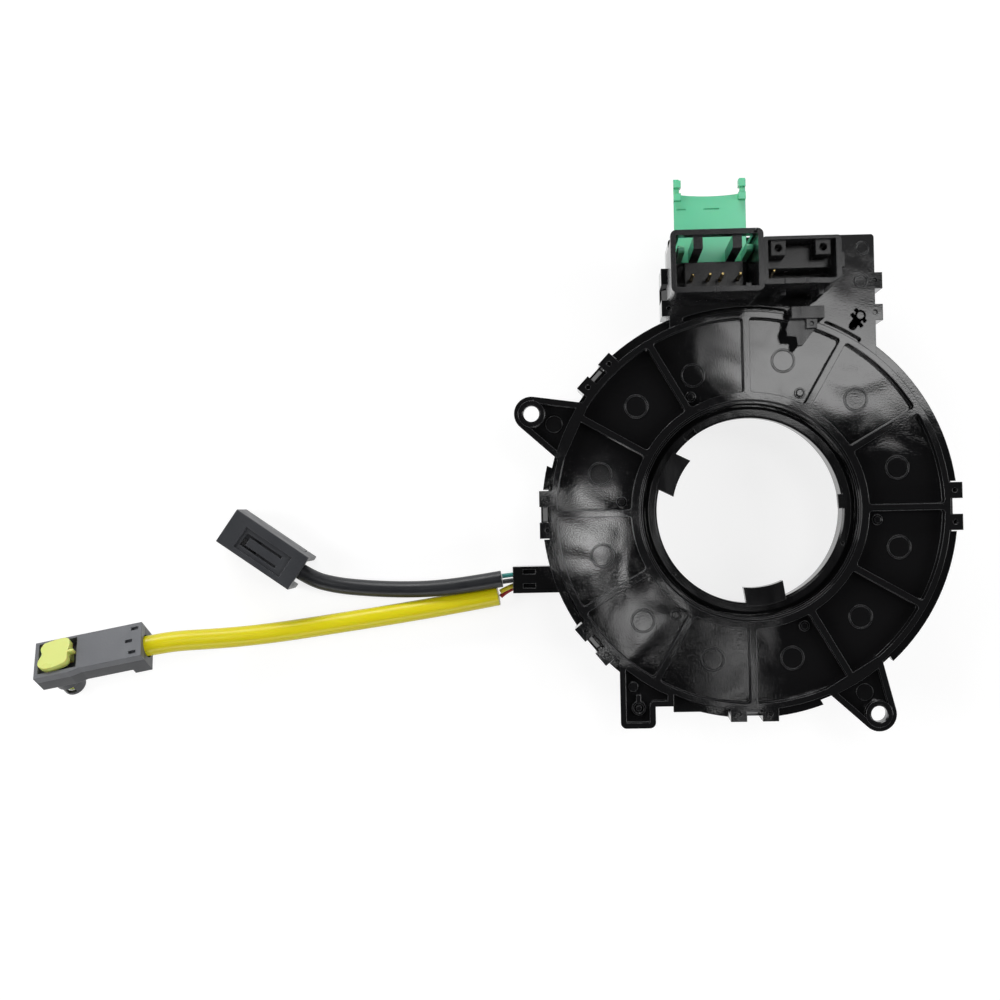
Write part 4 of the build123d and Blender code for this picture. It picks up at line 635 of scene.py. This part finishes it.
@dataclass
class Harness:
    """The two sleeves and the four single wires, in millimetres."""

    wardrobe: Wardrobe
    nodes: dict[str, bpy.types.Object]
    black_radius: float = 2.2
    yellow_radius: float = 2.7
    wire_radius: float = 0.6
    holder_mouth: Point = (-60.9, -17.1, 3.4)
    black_route: list[Point] = field(default_factory=lambda: [
        (-64.0, -16.8, 5.1),
        (-73.0, -18.2, 5.1),
        (-83.0, -19.2, 4.3),
        (-93.0, -19.2, 2.9),
        (-102.0, -18.6, 2.4),
        (-108.6, -17.7, 3.2),
        (-114.86, -15.851, 4.5),
        (-119.928, -12.289, 4.5),
    ])
    yellow_route: list[Point] = field(default_factory=lambda: [
        (-65.1, -21.3, 2.75),
        (-75.5, -23.1, 2.75),
        (-87.0, -24.9, 2.75),
        (-99.5, -26.7, 2.75),
        (-112.0, -28.4, 2.8),
        (-123.5, -29.9, 3.2),
        (-133.5, -30.8, 4.8),
        (-142.3, -31.1, 7.4),
        (-149.8, -31.2, 9.8),
        (-155.4, -31.94, 11.15),
        (-159.3, -32.66, 11.24),
    ])
    teal_route: list[Point] = field(default_factory=lambda: [
        (WIRE_START_X, -15.5, 4.7),
        (-60.0, -15.6, 4.7),
        (-63.9, -16.1, 5.0),
    ])
    brown_route: list[Point] = field(default_factory=lambda: [
        (WIRE_START_X, -17.0, 4.7),
        (-60.0, -17.1, 4.7),
        (-63.7, -17.6, 5.1),
    ])
    amber_route: list[Point] = field(default_factory=lambda: [
        (WIRE_START_X, -17.6, 3.1),
        (-60.2, -17.9, 3.1),
        (-64.6, -20.35, 3.5),
    ])
    red_route: list[Point] = field(default_factory=lambda: [
        (WIRE_START_X, -18.6, 1.75),
        (-61.4, -18.7, 1.75),
        (-64.6, -21.7, 2.3),
    ])

    def build(self) -> None:
        wires = (
            Lead("wire_teal", "teal_insulation", TEAL_WIRE, self.wire_radius, self.teal_route),
            Lead("wire_brown", "brown_insulation", BROWN_WIRE, self.wire_radius, self.brown_route),
            Lead("wire_amber", "amber_insulation", AMBER_WIRE, self.wire_radius, self.amber_route),
            Lead("wire_red", "red_insulation", RED_WIRE, self.wire_radius, self.red_route),
        )
        made = {wire.node: wire.build(self.wardrobe) for wire in wires}
        black = Lead("black_sleeve", "black_sleeving", BLACK_SLEEVE, self.black_radius, self.black_route)
        yellow = Lead("yellow_sleeve", "yellow_sleeving", YELLOW_SLEEVE, self.yellow_radius,
                      self.yellow_route)
        black.build(self.wardrobe)
        yellow.build(self.wardrobe)


@dataclass(frozen=True)
class Softbox:
    """A rectangular lamp, in metres and watts. Without an aim of its own it looks straight down."""

    name: str
    place: Point
    size: tuple[float, float]
    watts: float
    aim: Point | None = None

    def build(self) -> None:
        """Hangs the lamp and turns it to its aim."""
        data = bpy.data.lights.new(self.name, "AREA")
        data.shape = "RECTANGLE"
        data.size, data.size_y = self.size
        data.energy = self.watts
        lamp = bpy.data.objects.new(self.name, data)
        lamp.location = self.place
        below = (self.place[0], self.place[1], 0.0)
        view = Vector(self.aim or below) - Vector(self.place)
        lamp.rotation_euler = view.to_track_quat("-Z", "Y").to_euler()
        bpy.context.scene.collection.objects.link(lamp)


CEILING = 0.7
LAMPS = (
    Softbox("pocket_strip", (0.17, 0.10, CEILING), (0.2, 0.05), 0.2),
    Softbox("bracket_softbox", (0.16, 0.33, CEILING), (0.28, 0.35), 0.1),
    Softbox("bracket_spot", (0.15, 0.19, CEILING), (0.18, 0.15), 0.42),
    Softbox("left_spot", (-0.044, -0.02, CEILING), (0.03, 0.05), 0.05),
    Softbox("lower_spot", (-0.008, -0.085, CEILING), (0.05, 0.04), 0.03),
    Softbox("streak_spot", (0.062, -0.125, CEILING), (0.012, 0.07), 0.013),
    Softbox("far_softbox", (-0.3, 0.95, 0.38), (0.9, 0.3), 7.0, aim=(-0.12, 0.0, 0.01)),
    Softbox("left_softbox", (-0.8, 0.05, 0.4), (0.4, 0.7), 4.0, aim=(-0.05, 0.0, 0.02)),
    Softbox("right_softbox", (0.75, 0.0, 0.4), (0.4, 0.7), 4.0, aim=(0.0, 0.0, 0.02)),
    Softbox("near_softbox", (-0.05, -0.8, 0.4), (0.9, 0.3), 2.5, aim=(-0.02, 0.0, 0.02)),
)


@dataclass
class Studio:
    """White sweep, soft lamps and the photograph's camera.

    The camera's place is in millimetres, its turn in degrees and the floor's size in metres.
    """

    camera_place: Point = (-38.29, 1.53, 362.69)
    camera_turn: Point = (0.47, 1.576, -1.243)
    focal_px: float = 1348.95
    centre_px: tuple[float, float] = (560.0, 496.55)
    frame_px: float = 1000.0
    sensor: float = 36.0
    floor_size: float = 4.0
    floor_grey: float = 0.3
    floor_roughness: float = 0.9
    floor_glow: float = 0.8
    horizon_height: float = 0.25
    horizon_level: float = 0.55
    overhead_height: float = 0.8
    overhead_level: float = 0.03
    fill_level: float = 0.4

    def build(self) -> None:
        """Makes the camera, the floor, the world and the lamps."""
        self._camera()
        self._floor()
        self._world()
        for lamp in LAMPS:
            lamp.build()

    def _camera(self) -> None:
        """Puts the camera where the photograph was taken from."""
        data = bpy.data.cameras.new("photo_camera")
        data.sensor_width = self.sensor
        data.lens = self.focal_px * self.sensor / self.frame_px
        data.shift_x = (self.frame_px / 2 - self.centre_px[0]) / self.frame_px
        data.shift_y = (self.centre_px[1] - self.frame_px / 2) / self.frame_px
        data.clip_start = 0.01
        data.clip_end = 20.0
        camera = bpy.data.objects.new("photo_camera", data)
        camera.location = [value * MM for value in self.camera_place]
        camera.rotation_euler = [math.radians(value) for value in self.camera_turn]
        bpy.context.scene.collection.objects.link(camera)
        bpy.context.scene.camera = camera

    def _floor(self) -> None:
        """Makes the white floor. It shows white to the camera and keeps a soft shadow."""
        half = self.floor_size / 2
        mesh = bpy.data.meshes.new("floor")
        corners = [(-half, -half, 0), (half, -half, 0), (half, half, 0), (-half, half, 0)]
        mesh.from_pydata(corners, [], [(0, 1, 2, 3)])
        floor = bpy.data.objects.new("floor", mesh)
        bpy.context.scene.collection.objects.link(floor)
        material = bpy.data.materials.new("white_sweep")
        material.use_nodes = True
        board = Board(material.node_tree)
        shader = material.node_tree.nodes["Principled BSDF"]
        shader.inputs["Base Color"].default_value = rgb(self.floor_grey, self.floor_grey, self.floor_grey)
        shader.inputs["Roughness"].default_value = self.floor_roughness
        shader.inputs["Specular IOR Level"].default_value = 0.0
        shader.inputs["Emission Color"].default_value = rgb(1.0, 1.0, 1.0)
        rays = board.add("ShaderNodeLightPath")
        seen = board.math("MAXIMUM", rays.outputs["Is Camera Ray"], rays.outputs["Is Transmission Ray"])
        shown = board.math("MAXIMUM", seen, rays.outputs["Is Glossy Ray"])
        board.join(board.math("MULTIPLY", shown, self.floor_glow), shader.inputs["Emission Strength"])
        mesh.materials.append(material)

    def _world(self) -> None:
        """Pale surroundings that are dark overhead, where the camera stands."""
        world = bpy.data.worlds.new("studio_world")
        bpy.context.scene.world = world
        world.use_nodes = True
        board = Board(world.node_tree)
        background = world.node_tree.nodes["Background"]
        split = board.add("ShaderNodeSeparateXYZ")
        board.join(board.add("ShaderNodeTexCoord").outputs["Generated"], split.inputs["Vector"])
        level = board.spread(split.outputs["Z"], self.horizon_height, self.overhead_height,
                             self.horizon_level, self.overhead_level)
        rays = board.add("ShaderNodeLightPath")
        soft = board.math("MULTIPLY", rays.outputs["Is Diffuse Ray"], self.fill_level)
        lit = board.math("MAXIMUM", level, soft)
        board.join(board.math("MAXIMUM", lit, rays.outputs["Is Camera Ray"]), background.inputs["Strength"])


def main() -> None:
    """Builds the studio, the harness and the finishes in order."""
    logging.basicConfig(level=logging.INFO, format="%(message)s")
    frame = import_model()
    bpy.context.scene.view_settings.view_transform = "Standard"
    nodes = frame["nodes"]
    wardrobe = Wardrobe()
    Studio().build()
    Harness(wardrobe, nodes).build()
    for name, finish in NODE_FINISHES.items():
        wardrobe.dress(nodes[name], finish)
        log.info("%s: dressed in %s", name, finish.name)
    MouldingMarks(wardrobe).build()


if __name__ == "__main__":
    main()
